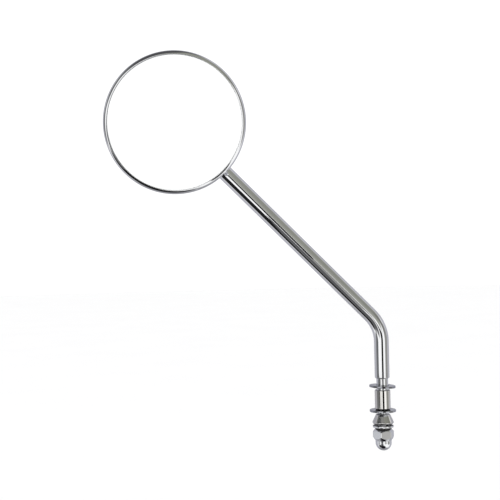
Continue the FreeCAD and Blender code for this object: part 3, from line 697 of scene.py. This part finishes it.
def make_clamp_screws():
    """Two button heads with hexagon sockets, and their shanks."""
    low, high, _, _ = extent("clamp_screws", CLAMP)
    under_head = extent("clamp_washers", CLAMP)[0]
    head = SCREW_HEAD_RADIUS
    shank = SCREW_SHANK_RADIUS
    socket = 1.25 * MM
    floor = low + 1.5 * MM
    builder = bmesh.new()
    for place in screw_frames():
        outside = rounded([
            (socket * 1.35, low),
            (head - 0.35 * MM, low, 0.7 * MM),
            (head, low + 0.9 * MM, 0.3 * MM),
            (head, under_head, 0.15 * MM),
            (shank, under_head, 0.1 * MM),
            (shank, high - 0.4 * MM, 0.1 * MM),
            (shank - 0.4 * MM, high, 0.1 * MM),
            (0.0, high),
        ], closed=False)
        rows = [
            [place @ Vector((0, 0, floor + 0.3 * MM))],
            socket_row(place, socket, floor),
            socket_row(place, socket, low + 0.15 * MM),
        ]
        rows += [circle_row(place, point.x, point.y, SCREW_SEGMENTS) for point in outside]
        skin(builder, rows, closed=False)
    return finish_mesh("clamp_screw_pair", builder)


def socket_row(place, apothem, height):
    """One row of points round a hexagon socket."""
    row = []
    for index in range(SCREW_SEGMENTS):
        angle = 2 * math.pi * index / SCREW_SEGMENTS
        radius = hexagon_radius(angle, apothem, apothem * 0.05)
        row.append(place @ Vector((radius * math.cos(angle), radius * math.sin(angle), height)))
    return row


CLAMP_NUT_APOTHEM = 3.5 * MM
CLAMP_WASHER_RADIUS = 3.9 * MM


def make_clamp_nuts():
    low, high, _, _ = extent("clamp_nuts", CLAMP)
    builder = bmesh.new()
    for place in screw_frames():
        nut_into(builder, place, CLAMP_NUT_APOTHEM, low, high, SCREW_SHANK_RADIUS)
    return finish_mesh("clamp_nut_pair", builder)


SPLIT_RING_STEPS = 90


def split_ring_into(builder, place, inner, outer, low, high, gap, rise):
    """A split spring ring. One end stands higher than the other by the rise."""
    rounding = min(high - low, outer - inner) * 0.12
    section = rounded([
        (inner, low, rounding),
        (outer, low, rounding),
        (outer, high, rounding),
        (inner, high, rounding),
    ], closed=True, steps=3)
    opening = gap / outer
    rows = []
    for step in range(SPLIT_RING_STEPS + 1):
        part = step / SPLIT_RING_STEPS
        angle = opening / 2 + (2 * math.pi - opening) * part
        lift = rise * (part - 0.5)
        rows.append([place @ Vector((p.x * math.cos(angle), p.x * math.sin(angle), p.y + lift))
                     for p in section])
    skin(builder, rows, closed=False)
    for end in (rows[0], list(reversed(rows[-1]))):
        builder.faces.new([builder.verts.new(p) for p in end])


def make_clamp_washers():
    low, high, _, _ = extent("clamp_washers", CLAMP)
    builder = bmesh.new()
    for place in screw_frames():
        split_ring_into(builder, place, SCREW_HOLE_RADIUS, CLAMP_WASHER_RADIUS, low, high, 0.5 * MM, 0.0)
    return finish_mesh("clamp_washer_pair", builder)


settle(make_front_plate(), "stem", "clamp_plate_front", "chrome_plate", plate_chrome)
settle(make_rear_plate(), "stem", "clamp_plate_rear", "chrome_plate", plate_chrome)
settle(make_clamp_screws(), "stem", "clamp_screws", "plated_steel", steel)
settle(make_clamp_washers(), "stem", "clamp_washers", "plated_steel", steel)
settle(make_clamp_nuts(), "stem", "clamp_nuts", "plated_steel", steel)


# ---- ball joint

SEAT_INNER_RADIUS = 7.05 * MM
SEAT_OUTER_RADIUS = 8.2 * MM
BALL_NECK_RADIUS = 3.2 * MM
BALL_COLLAR_START = 12 * MM
BALL_COLLAR_APOTHEM = 6.5 * MM
BALL_SHANK_RADIUS = 4.0 * MM


def make_seat_half(name, node):
    low, high, _, _ = extent(node, SEAT)
    outside = sphere_points(SEAT_OUTER_RADIUS, low, high, 12)
    inside = sphere_points(SEAT_INNER_RADIUS, high, low, 12)
    return lathe(name, SEAT, outside + inside, segments=96)


def make_ball_stud():
    """Ball, neck and plain shank in one turning, with a hexagon collar against the dish."""
    low, high, _, _ = extent("ball_stud", HEAD)
    ball = -low
    junction = math.sqrt(ball ** 2 - BALL_NECK_RADIUS ** 2)
    dish_back = extent("mirror_shell", HEAD)[0]
    profile = [(0.0, -ball)] + sphere_points(ball, -ball * 0.9999, junction * 0.985, 28)
    profile += [
        (BALL_NECK_RADIUS, junction + 0.9 * MM),
        (BALL_NECK_RADIUS, BALL_COLLAR_START),
        (BALL_SHANK_RADIUS, BALL_COLLAR_START + 1 * MM),
        (BALL_SHANK_RADIUS, dish_back + 4 * MM),
        (BALL_SHANK_RADIUS, high - 0.7 * MM),
        (BALL_SHANK_RADIUS - 0.7 * MM, high),
        (0.0, high),
    ]
    builder = bmesh.new()
    lathe_into(builder, HEAD, profile, closed=False, segments=96)
    collar_end = dish_back - 0.01 * MM
    rows = [circle_row(HEAD, 0.0, BALL_COLLAR_START, 1)]
    rows += hexagon_rows(HEAD, BALL_COLLAR_APOTHEM, BALL_COLLAR_START, collar_end,
                         BALL_COLLAR_APOTHEM * NUT_FACE, NUT_BEVEL_SLOPE, NUT_BEVEL_SLOPE)
    rows.append(circle_row(HEAD, 0.0, collar_end, 1))
    skin(builder, rows, closed=False)
    return finish_mesh("ball_stud_turned", builder)


for name, node in (("seat_front_half", "ball_seat_front"), ("seat_rear_half", "ball_seat_rear")):
    settle(make_seat_half(name, node), "seat", node, "nylon", seat_nylon)
settle(make_ball_stud(), "ball", "ball_stud", "plated_steel", steel)


# ---- mirror head

def arc_points(centre, radius, from_degrees, to_degrees, steps):
    """Points on a flat arc about a centre, in the same two coordinates as the centre."""
    points = []
    for step in range(steps + 1):
        angle = math.radians(from_degrees + (to_degrees - from_degrees) * step / steps)
        points.append((centre[0] + radius * math.cos(angle), centre[1] + radius * math.sin(angle)))
    return points


# The CAD mesh is faceted, so a smooth rim has to stay this far inside its radius.
INSIDE = 0.012 * MM
BEZEL_SHEET = 0.6 * MM
BEAD_RADIUS = 3.1 * MM
CRIMP_RADIUS = 43.8 * MM
BEZEL_BEND = 1.5 * MM


def make_bezel():
    """Rolled ring with a bead in front, a hemmed lip and a crimp behind."""
    low, high, lip, rim = extent("bezel_ring", HEAD)
    rim -= INSIDE
    sheet = BEZEL_SHEET
    centre = (rim - BEAD_RADIUS, high - BEAD_RADIUS)
    lip_degrees = math.degrees(math.acos((lip - centre[0]) / BEAD_RADIUS))
    inner_degrees = math.degrees(math.acos((lip - centre[0]) / (BEAD_RADIUS - sheet)))
    bead_outside = arc_points(centre, BEAD_RADIUS, 0, lip_degrees, 24)
    bead_inside = arc_points(centre, BEAD_RADIUS - sheet, inner_degrees, 0, 20)
    bend = arc_points((rim - BEZEL_BEND, low + BEZEL_BEND), BEZEL_BEND, -90, 0, 8)
    crimp = [
        (CRIMP_RADIUS, low + sheet),
        (CRIMP_RADIUS, low + 0.15 * MM),
        (CRIMP_RADIUS + 0.15 * MM, low),
    ]
    inside_bend = [
        (rim - sheet, low + sheet + 0.4 * MM),
        (rim - sheet - 0.4 * MM, low + sheet),
    ]
    profile = crimp + bend + bead_outside + bead_inside + inside_bend
    return lathe("rim_bezel", HEAD, profile, segments=288)


DISH_SHEET = 0.9 * MM
DISH_FLAT_RADIUS = 15 * MM
DISH_CURVE_RADIUS = 32 * MM


def make_dish():
    """Spun dish: flat in the middle, curved sides, and a flange under the bezel."""
    low, high, hole, flange = extent("mirror_shell", HEAD)
    centre = (DISH_FLAT_RADIUS, low + DISH_CURVE_RADIUS)
    inner_radius = DISH_CURVE_RADIUS - DISH_SHEET
    back = high - DISH_SHEET
    outer_start = math.degrees(math.asin((back - centre[1]) / DISH_CURVE_RADIUS))
    inner_start = math.degrees(math.asin((high - centre[1]) / inner_radius))
    profile = [(hole, low, 0.1 * MM)]
    profile += arc_points(centre, DISH_CURVE_RADIUS, -90, outer_start, 36)
    profile += [(flange, back, 0.2 * MM), (flange, high, 0.2 * MM)]
    profile += arc_points(centre, inner_radius, inner_start, -90, 36)
    profile.append((hole, low + DISH_SHEET, 0.1 * MM))
    return lathe("spun_dish", HEAD, profile, segments=256)


GLASS_BEVEL = 0.35 * MM
GLASS_SEGMENTS = 256


def make_glass():
    """Flat glass with a ground edge: silvered face in front, paint behind."""
    low, high, _, radius = extent("mirror_glass", HEAD)
    face_radius = radius - GLASS_BEVEL
    piece = skinned("glass_disc", [
        circle_row(HEAD, 0.0, high, 1),
        circle_row(HEAD, face_radius, high, GLASS_SEGMENTS),
        circle_row(HEAD, radius, high - GLASS_BEVEL, GLASS_SEGMENTS),
        circle_row(HEAD, radius, low + GLASS_BEVEL, GLASS_SEGMENTS),
        circle_row(HEAD, face_radius, low, GLASS_SEGMENTS),
        circle_row(HEAD, 0.0, low, 1),
    ])
    for face in piece.data.polygons:
        face.use_smooth = False
    return piece


def paint_glass_faces(piece):
    """Front faces reflect, the ground edge is greenish, the back is painted."""
    for face in piece.data.polygons:
        facing = face.normal.dot(glass_facing)
        if facing > 0.99:
            face.material_index = 0
        elif facing < -0.99:
            face.material_index = 2
        else:
            face.material_index = 1


def make_gasket():
    """Vinyl strip with one leg in front of the glass and one round its edge."""
    low, high, inner, outer = extent("glass_gasket", HEAD)
    _, glass_front, _, glass_radius = extent("mirror_glass", HEAD)
    wall = glass_radius + 0.05 * MM
    return lathe("vinyl_strip", HEAD, [
        (inner, glass_front, 0.08 * MM),
        (wall, glass_front, 0.05 * MM),
        (wall, low, 0.1 * MM),
        (outer, low, 0.1 * MM),
        (outer, glass_front - 0.2 * MM, 0.2 * MM),
        (outer - 0.8 * MM, high - 0.05 * MM, 0.2 * MM),
        (inner, high, 0.2 * MM),
    ], segments=256)


settle(make_bezel(), "head", "bezel_ring", "chrome_shell", rim_chrome)
settle(make_dish(), "head", "mirror_shell", "chrome_shell", dish_chrome)
glass = settle(make_glass(), "head", "mirror_glass", "mirror_glass", mirror_face, glass_edge, backing_paint)
paint_glass_faces(glass)
settle(make_gasket(), "head", "glass_gasket", "vinyl", black_vinyl)


# ---- hardware on the stud

def make_washer(name, node):
    """A stamped washer: well rounded on the upper side, nearly sharp below."""
    place = washer_place(node)
    low, high, inner, outer = extent(node, place)
    return lathe(name, place, [
        (inner, low, 0.15 * MM),
        (outer, low, 0.18 * MM),
        (outer, high, 0.45 * MM),
        (inner, high, 0.35 * MM),
    ], segments=160)


def washer_place(node):
    """The frame of a washer that may lie askew. Its right-hand edge gives the slope."""
    centre = centre_of(node)
    points = [v.co - centre for v in frame["nodes"][node].data.vertices]
    right_side = [p for p in points if abs(p.y) < 1 * MM and p.x > 0]
    edge = max(p.x for p in right_side)
    rim = [p for p in right_side if p.x > edge - 0.1 * MM]
    rise = sum(p.z for p in rim) / len(rim)
    normal = Vector((-rise, 0, edge)) if abs(rise) > 1e-6 else Z_AXIS
    return place_at(centre, normal, X_AXIS)


def make_sleeve():
    low, high, inner, outer = extent("spacer_sleeve", STUD)
    return lathe("turned_sleeve", STUD, [
        (inner, low, 0.1 * MM),
        (outer - 0.6 * MM, low, 0.05 * MM),
        (outer, low + 0.8 * MM, 0.15 * MM),
        (outer, high - 0.35 * MM, 0.25 * MM),
        (outer - 0.35 * MM, high, 0.1 * MM),
        (inner + 0.2 * MM, high, 0.1 * MM),
        (inner, high - 0.2 * MM, 0.1 * MM),
    ], segments=160)


BUSHING_FOOT_RADIUS = 6.4 * MM
BUSHING_TOP_RADIUS = 4.85 * MM
BUSHING_TAPER_LENGTH = 5.1 * MM


def make_bushing():
    low, high, inner, outer = extent("tapered_bushing", STUD)
    taper_start = high - BUSHING_TAPER_LENGTH
    return lathe("turned_bushing", STUD, [
        (inner, low, 0.1 * MM),
        (BUSHING_FOOT_RADIUS, low, 0.2 * MM),
        (outer, taper_start - 0.4 * MM, 0.35 * MM),
        (outer, taper_start, 0.35 * MM),
        (BUSHING_TOP_RADIUS, high, 0.2 * MM),
        (inner, high, 0.12 * MM),
    ], segments=160)


LOCK_WASHER_RISE = 0.25 * MM
LOCK_WASHER_GAP = 0.8 * MM


def make_lock_washer():
    low, high, inner, outer = extent("lock_washer", STUD)
    half_rise = LOCK_WASHER_RISE / 2
    builder = bmesh.new()
    split_ring_into(builder, STUD, inner, outer, low + half_rise, high - half_rise,
                    LOCK_WASHER_GAP, LOCK_WASHER_RISE)
    return finish_mesh("split_ring", builder)


# Material slot that holds the painted shade.
PAINTED_SHADE_SLOT = 1
NUT_APOTHEM = 6.5 * MM
NUT_DOME_RADIUS = 5.45 * MM
NUT_COLLAR_RADIUS = 5.6 * MM
NUT_COLLAR_HEIGHT = 1.1 * MM
NUT_HEXAGON_DEPTH = 8.6 * MM
NUT_BORE_RADIUS = 4.02 * MM
NUT_BORE_DEPTH = 12 * MM
NUT_DRILL_POINT = 1.5 * MM
NUT_LOWER_BEVEL = 1.4
NUT_UPPER_BEVEL = 1.0
NUT_TURN = math.radians(10)
NUT_SEGMENTS = 192


def paint_shade_on_faces(piece, lowest, highest):
    """Painted shade on faces whose normal points up by an amount between two limits."""
    for face in piece.data.polygons:
        if lowest < face.normal.z < highest:
            face.material_index = PAINTED_SHADE_SLOT


def paint_shade_on_nut_collar(piece):
    """The same painted shade on the nut's collar, its seat and the bore."""
    _, high, _, _ = extent("acorn_nut", STUD)
    bore_floor = high - NUT_BORE_DEPTH - 2 * MM
    for face in piece.data.polygons:
        centre = face.center
        on_collar = centre.z > high - NUT_COLLAR_HEIGHT
        in_bore = math.hypot(centre.x, centre.y) < NUT_BORE_RADIUS * 1.02 and centre.z > bore_floor
        if on_collar or in_bore:
            face.material_index = PAINTED_SHADE_SLOT


def make_acorn_nut():
    """Round collar, hexagon with deep bevels, a dome, and a countersunk blind bore."""
    low, high, _, _ = extent("acorn_nut", STUD)
    hexagon_low = high - NUT_HEXAGON_DEPTH
    hexagon_high = high - NUT_COLLAR_HEIGHT
    bore_end = high - NUT_BORE_DEPTH
    dome = NUT_DOME_RADIUS
    turned = STUD @ Matrix.Rotation(NUT_TURN, 4, "Z")

    def circle(radius, height):
        return circle_row(turned, radius, height, NUT_SEGMENTS)

    rows = [circle_row(turned, 0.0, low, 1)]
    rows += [circle(radius, low + dome + z) for radius, z in sphere_points(dome, -dome * 0.9995, 0.0, 24)]
    rows += [circle(dome, hexagon_low - 0.25 * MM), circle(dome + 0.2 * MM, hexagon_low)]
    rows += hexagon_rows(turned, NUT_APOTHEM, hexagon_low, hexagon_high, NUT_COLLAR_RADIUS,
                         NUT_LOWER_BEVEL, NUT_UPPER_BEVEL, NUT_SEGMENTS)
    rows += [
        circle(NUT_COLLAR_RADIUS, high - 0.2 * MM),
        circle(NUT_COLLAR_RADIUS - 0.2 * MM, high),
        circle(NUT_BORE_RADIUS + 0.6 * MM, high),
        circle(NUT_BORE_RADIUS, high - 0.6 * MM),
        circle(NUT_BORE_RADIUS, bore_end),
        circle_row(turned, 0.0, bore_end - NUT_DRILL_POINT, 1),
    ]
    return skinned("domed_nut", rows)


# Each large washer is its own body, named as its CAD node is.
for name, node in (("washer_above_sleeve", "upper_washer"), ("washer_below_sleeve", "lower_washer")):
    settle(make_washer(name, node), node, node, "chrome_hardware", washer_chrome)
# Painted shade on the sleeve's lower end, the bushing's underside, both flat faces of the lock washer, and the
# nut's collar and bore.
sleeve = settle(make_sleeve(), "sleeve", "spacer_sleeve", "chrome_hardware", sleeve_chrome, painted_shade_face)
paint_shade_on_faces(sleeve, -1.01, -0.3)
bushing = settle(make_bushing(), "bushing", "tapered_bushing", "chrome_hardware",
                 bushing_chrome, painted_shade_face)
paint_shade_on_faces(bushing, -1.01, -0.8)
lock_washer = settle(make_lock_washer(), "lock_washer", "lock_washer", "chrome_hardware",
                     nut_chrome, painted_shade_face)
paint_shade_on_faces(lock_washer, -1.01, -0.8)
paint_shade_on_faces(lock_washer, 0.8, 1.01)
nut = settle(make_acorn_nut(), "nut", "acorn_nut", "chrome_hardware", nut_chrome, painted_shade_face)
paint_shade_on_nut_collar(nut)
bevel_edges(nut, 0.14 * MM)


# ---- pieces inside the closed head

SEATING_GAP = 0.03 * MM
STUD_NUT_APOTHEM = 6.5 * MM


def make_stud_washer():
    """Split spring ring, a hair clear of the disc it presses on."""
    low, high, inner, outer = extent("stud_washer", HEAD)
    builder = bmesh.new()
    split_ring_into(builder, HEAD, inner, outer, low + SEATING_GAP, high - SEATING_GAP, 0.6 * MM, 0.0)
    return finish_mesh("stud_spring_ring", builder)


def make_stud_nut():
    low, high, inner, _ = extent("stud_nut", HEAD)
    builder = bmesh.new()
    nut_into(builder, HEAD, STUD_NUT_APOTHEM, low, high, inner)
    return finish_mesh("stud_hexagon", builder)


def make_reinforcing_disc():
    low, high, inner, outer = extent("reinforcing_disc", HEAD)
    return lathe("stiffener", HEAD, [
        (inner, low, 0.1 * MM),
        (outer, low, 0.2 * MM),
        (outer, high, 0.5 * MM),
        (inner, high, 0.1 * MM),
    ])


def make_backing_pad():
    low, high, _, outer = extent("backing_pad", HEAD)
    return lathe("felt_disc", HEAD, [
        (0.0, low),
        (outer, low, 0.2 * MM),
        (outer, high, 0.2 * MM),
        (0.0, high),
    ], closed=False, segments=192)


settle(make_stud_washer(), "ball", "stud_washer", "plated_steel", steel)
settle(make_stud_nut(), "ball", "stud_nut", "plated_steel", steel)
settle(make_reinforcing_disc(), "head", "reinforcing_disc", "plated_steel", steel)
settle(make_backing_pad(), "head", "backing_pad", "felt", dark_felt)


# ---- floor, light and camera

CAMERA_DISTANCE = 0.68
CAMERA_LENS = 72
CAMERA_SENSOR = 36
CAMERA_ROLL = math.radians(1.27)
CAMERA_OFFSET = (-2.10 * MM, 4.60 * MM)
FLOOR_DROP = 0.12
FLOOR_RADIUS = 6.0


def make_camera():
    """Level camera, square to the bar's plane, rolled slightly."""
    camera = bpy.data.objects.new("camera", bpy.data.cameras.new("camera"))
    bpy.context.scene.collection.objects.link(camera)
    camera.data.lens = CAMERA_LENS
    camera.data.sensor_width = CAMERA_SENSOR
    right = Vector((math.cos(CAMERA_ROLL), 0, -math.sin(CAMERA_ROLL)))
    up = Vector((math.sin(CAMERA_ROLL), 0, math.cos(CAMERA_ROLL)))
    middle = (cad_low + cad_high) / 2
    matrix = Matrix((right, up, -Y_AXIS)).transposed().to_4x4()
    aside, above = CAMERA_OFFSET
    matrix.translation = Vector((middle.x + aside, -CAMERA_DISTANCE, middle.z + above))
    camera.matrix_world = matrix
    bpy.context.scene.camera = camera


def make_floor():
    """A wide pale floor well below the nut. Chrome reflects the studio, not the floor."""
    builder = bmesh.new()
    bmesh.ops.create_circle(builder, cap_ends=True, segments=64, radius=FLOOR_RADIUS)
    mesh = bpy.data.meshes.new("floor")
    builder.to_mesh(mesh)
    builder.free()
    floor = add_object("floor", mesh)
    floor.location.z = cad_low.z - FLOOR_DROP
    look = Shader("pale_floor", (0.93, 0.93, 0.93), 0.9)
    look.colour_between(look.noise(6, 3.0), (0.93, 0.93, 0.93), (0.92, 0.92, 0.922))
    mesh.materials.append(look.material)
    floor.visible_glossy = False


def direction_from(around, away):
    """Unit vector away degrees off the camera's side, around degrees from the right."""
    sideways = math.sin(math.radians(away))
    return Vector((sideways * math.cos(math.radians(around)), -math.cos(math.radians(away)),
                   sideways * math.sin(math.radians(around))))


STUDIO_WHITE = 1.12
WHITE = (STUDIO_WHITE, STUDIO_WHITE, STUDIO_WHITE)
BLACK = (0.015, 0.015, 0.016)

# Grey flats round the bright studio: where each stands, as degrees round from the
# right and degrees off the camera's side, its inner and outer radius in degrees,
# and its colour.
FLATS = [
    (0, 180, 76, 92, (0.50, 0.50, 0.55)),
    (100, 75, 34, 50, (0.085, 0.085, 0.09)),
    (150, 70, 16, 30, (0.16, 0.165, 0.165)),
    (45, 32, 17, 25, (0.37, 0.375, 0.33)),
    (45, 66, 24, 33, (0.30, 0.305, 0.27)),
    (0, 72, 18, 28, (0.31, 0.31, 0.30)),
    (20, 64, 8, 18, (0.20, 0.20, 0.19)),
    (182, 78, 17, 25, (0.19, 0.195, 0.20)),
    (228, 38, 14, 21, (0.12, 0.12, 0.125)),
    (225, 73, 13, 22, (0.012, 0.012, 0.013)),
    (270, 105, 30, 45, (0.34, 0.34, 0.36)),
    (262, 65, 20, 32, (0.012, 0.012, 0.015)),
]


def make_world():
    """Even white light, with grey flats that only rays off the metal see."""
    world = bpy.data.worlds.new("studio")
    bpy.context.scene.world = world
    world.use_nodes = True
    tree = world.node_tree
    tree.nodes.clear()
    direction = new_node(tree, "TexCoord").outputs["Generated"]
    base = new_node(tree, "RGB")
    base.outputs[0].default_value = (*WHITE, 1)
    colour = base.outputs[0]
    for around, away, inner, outer, shade in FLATS:
        colour = add_flat(tree, direction, colour, direction_from(around, away), inner, outer, shade)
    studio = new_node(tree, "Background")
    tree.links.new(colour, studio.inputs["Color"])
    plain = new_node(tree, "Background")
    plain.inputs["Color"].default_value = (*WHITE, 1)
    mix = new_node(tree, "MixShader")
    tree.links.new(metal_reflections(tree), mix.inputs[0])
    tree.links.new(plain.outputs[0], mix.inputs[1])
    tree.links.new(studio.outputs[0], mix.inputs[2])
    output = new_node(tree, "OutputWorld")
    tree.links.new(mix.outputs[0], output.inputs["Surface"])


def metal_reflections(tree):
    """One for rays off metal and any other rough surface, zero for the glass's perfectly
    sharp ones, so that the mirror shows an even white studio in every pose."""
    path = new_node(tree, "LightPath")
    metal = new_node(tree, "Math")
    metal.operation = "SUBTRACT"
    metal.use_clamp = True
    tree.links.new(path.outputs["Is Glossy Ray"], metal.inputs[0])
    tree.links.new(path.outputs["Is Singular Ray"], metal.inputs[1])
    return metal.outputs[0]


def add_flat(tree, direction, colour, towards, inner, outer, shade):
    """Mixes a soft-edged round patch of colour into the studio."""
    dot = new_node(tree, "VectorMath")
    dot.operation = "DOT_PRODUCT"
    dot.inputs[1].default_value = towards
    tree.links.new(direction, dot.inputs[0])
    fade = new_node(tree, "MapRange")
    fade.interpolation_type = "SMOOTHSTEP"
    fade.inputs["From Min"].default_value = math.cos(math.radians(outer))
    fade.inputs["From Max"].default_value = math.cos(math.radians(inner))
    tree.links.new(dot.outputs["Value"], fade.inputs["Value"])
    mix = new_node(tree, "Mix")
    mix.data_type = "RGBA"
    mix.inputs["B"].default_value = (*shade, 1)
    tree.links.new(fade.outputs["Result"], mix.inputs["Factor"])
    tree.links.new(colour, mix.inputs["A"])
    return mix.outputs["Result"]


def card_material(name, colour):
    material = bpy.data.materials.new(name)
    material.use_nodes = True
    tree = material.node_tree
    emission = new_node(tree, "Emission")
    emission.inputs["Color"].default_value = (*colour, 1)
    clear = new_node(tree, "BsdfTransparent")
    mix = new_node(tree, "MixShader")
    tree.links.new(metal_reflections(tree), mix.inputs[0])
    tree.links.new(clear.outputs[0], mix.inputs[1])
    tree.links.new(emission.outputs[0], mix.inputs[2])
    tree.links.new(mix.outputs[0], tree.nodes["Material Output"].inputs["Surface"])
    return material


def make_card(name, outline, colour):
    """A flat card that only rays off the metal see. The outline is its corners in space."""
    mesh = bpy.data.meshes.new(name)
    mesh.from_pydata(outline, [], [tuple(range(len(outline)))])
    mesh.materials.append(card_material(name, colour))
    card = add_object(name, mesh)
    for kind in ("camera", "diffuse", "transmission", "volume_scatter", "shadow"):
        setattr(card, f"visible_{kind}", False)


CARD_DISTANCE = 85 * MM
RIM_CARD_DISTANCE = 25 * MM


def make_rim_card():
    """Grey, before the left half of the rim, for the inside of the bead."""
    _, high, _, radius = extent("mirror_glass", HEAD)
    height = high + RIM_CARD_DISTANCE
    outline = arc_points((0, 0), radius + 3 * MM, 110, 265, 36)
    outline += arc_points((0, 0), radius + 16 * MM, 265, 110, 36)
    make_card("rim_card", [HEAD @ Vector((x, y, height)) for x, y in outline], (0.24, 0.245, 0.25))


def bar_card(name, corners, colour):
    """A flat card before the bar's long run. Each corner is a distance from the
    ball's centre down the bar and an offset towards the upper right, in mm."""
    aside = Vector((-down_bar.z, 0, down_bar.x))
    outline = []
    for distance, side in corners:
        point = ball_centre + down_bar * (distance * MM) + aside * (side * MM)
        outline.append((point.x, -CARD_DISTANCE, point.z))
    make_card(name, outline, colour)


def upright_card(name, left, right, bottom, top, colour):
    """A flat card before the stud and its hardware, with its edges in mm."""
    corners = [(left, bottom), (right, bottom), (right, top), (left, top)]
    make_card(name, [(x * MM, -CARD_DISTANCE, z * MM) for x, z in corners], colour)


def make_side_card():
    """Pale, to the left of the nut's side facet."""
    left = cad_high.x - 70 * MM
    low = cad_low.z - 14 * MM
    high = cad_low.z + 14 * MM
    near = -25 * MM
    far = 22 * MM
    make_card("side_card", [(left, near, low), (left, far, low), (left, far, high), (left, near, high)],
              (0.66, 0.67, 0.70))


def make_cards():
    make_rim_card()
    bar_card("centre_flag", [(34, -11), (138, -26), (138, 11), (34, 13.5)], BLACK)
    bar_card("bounce_card", [(20, -60), (94, -54), (86, -20), (20, -12)], WHITE)
    bar_card("shade_card", [(10, -180), (120, -180), (94, -61), (20, -61)], BLACK)
    bar_card("grey_card", [(138, -34), (190, -26), (204, 8), (138, 11)], (0.31, 0.31, 0.30))
    upright_card("stud_flag", -12, 27, -37, 28, BLACK)
    upright_card("sleeve_card", -170, -72, -44, -16, (0.15, 0.15, 0.15))
    upright_card("nut_card", 16, 66, -72, -43, (0.50, 0.49, 0.47))
    make_side_card()


make_camera()
make_floor()
make_world()
make_cards()
bpy.context.scene.view_settings.view_transform = "Standard"
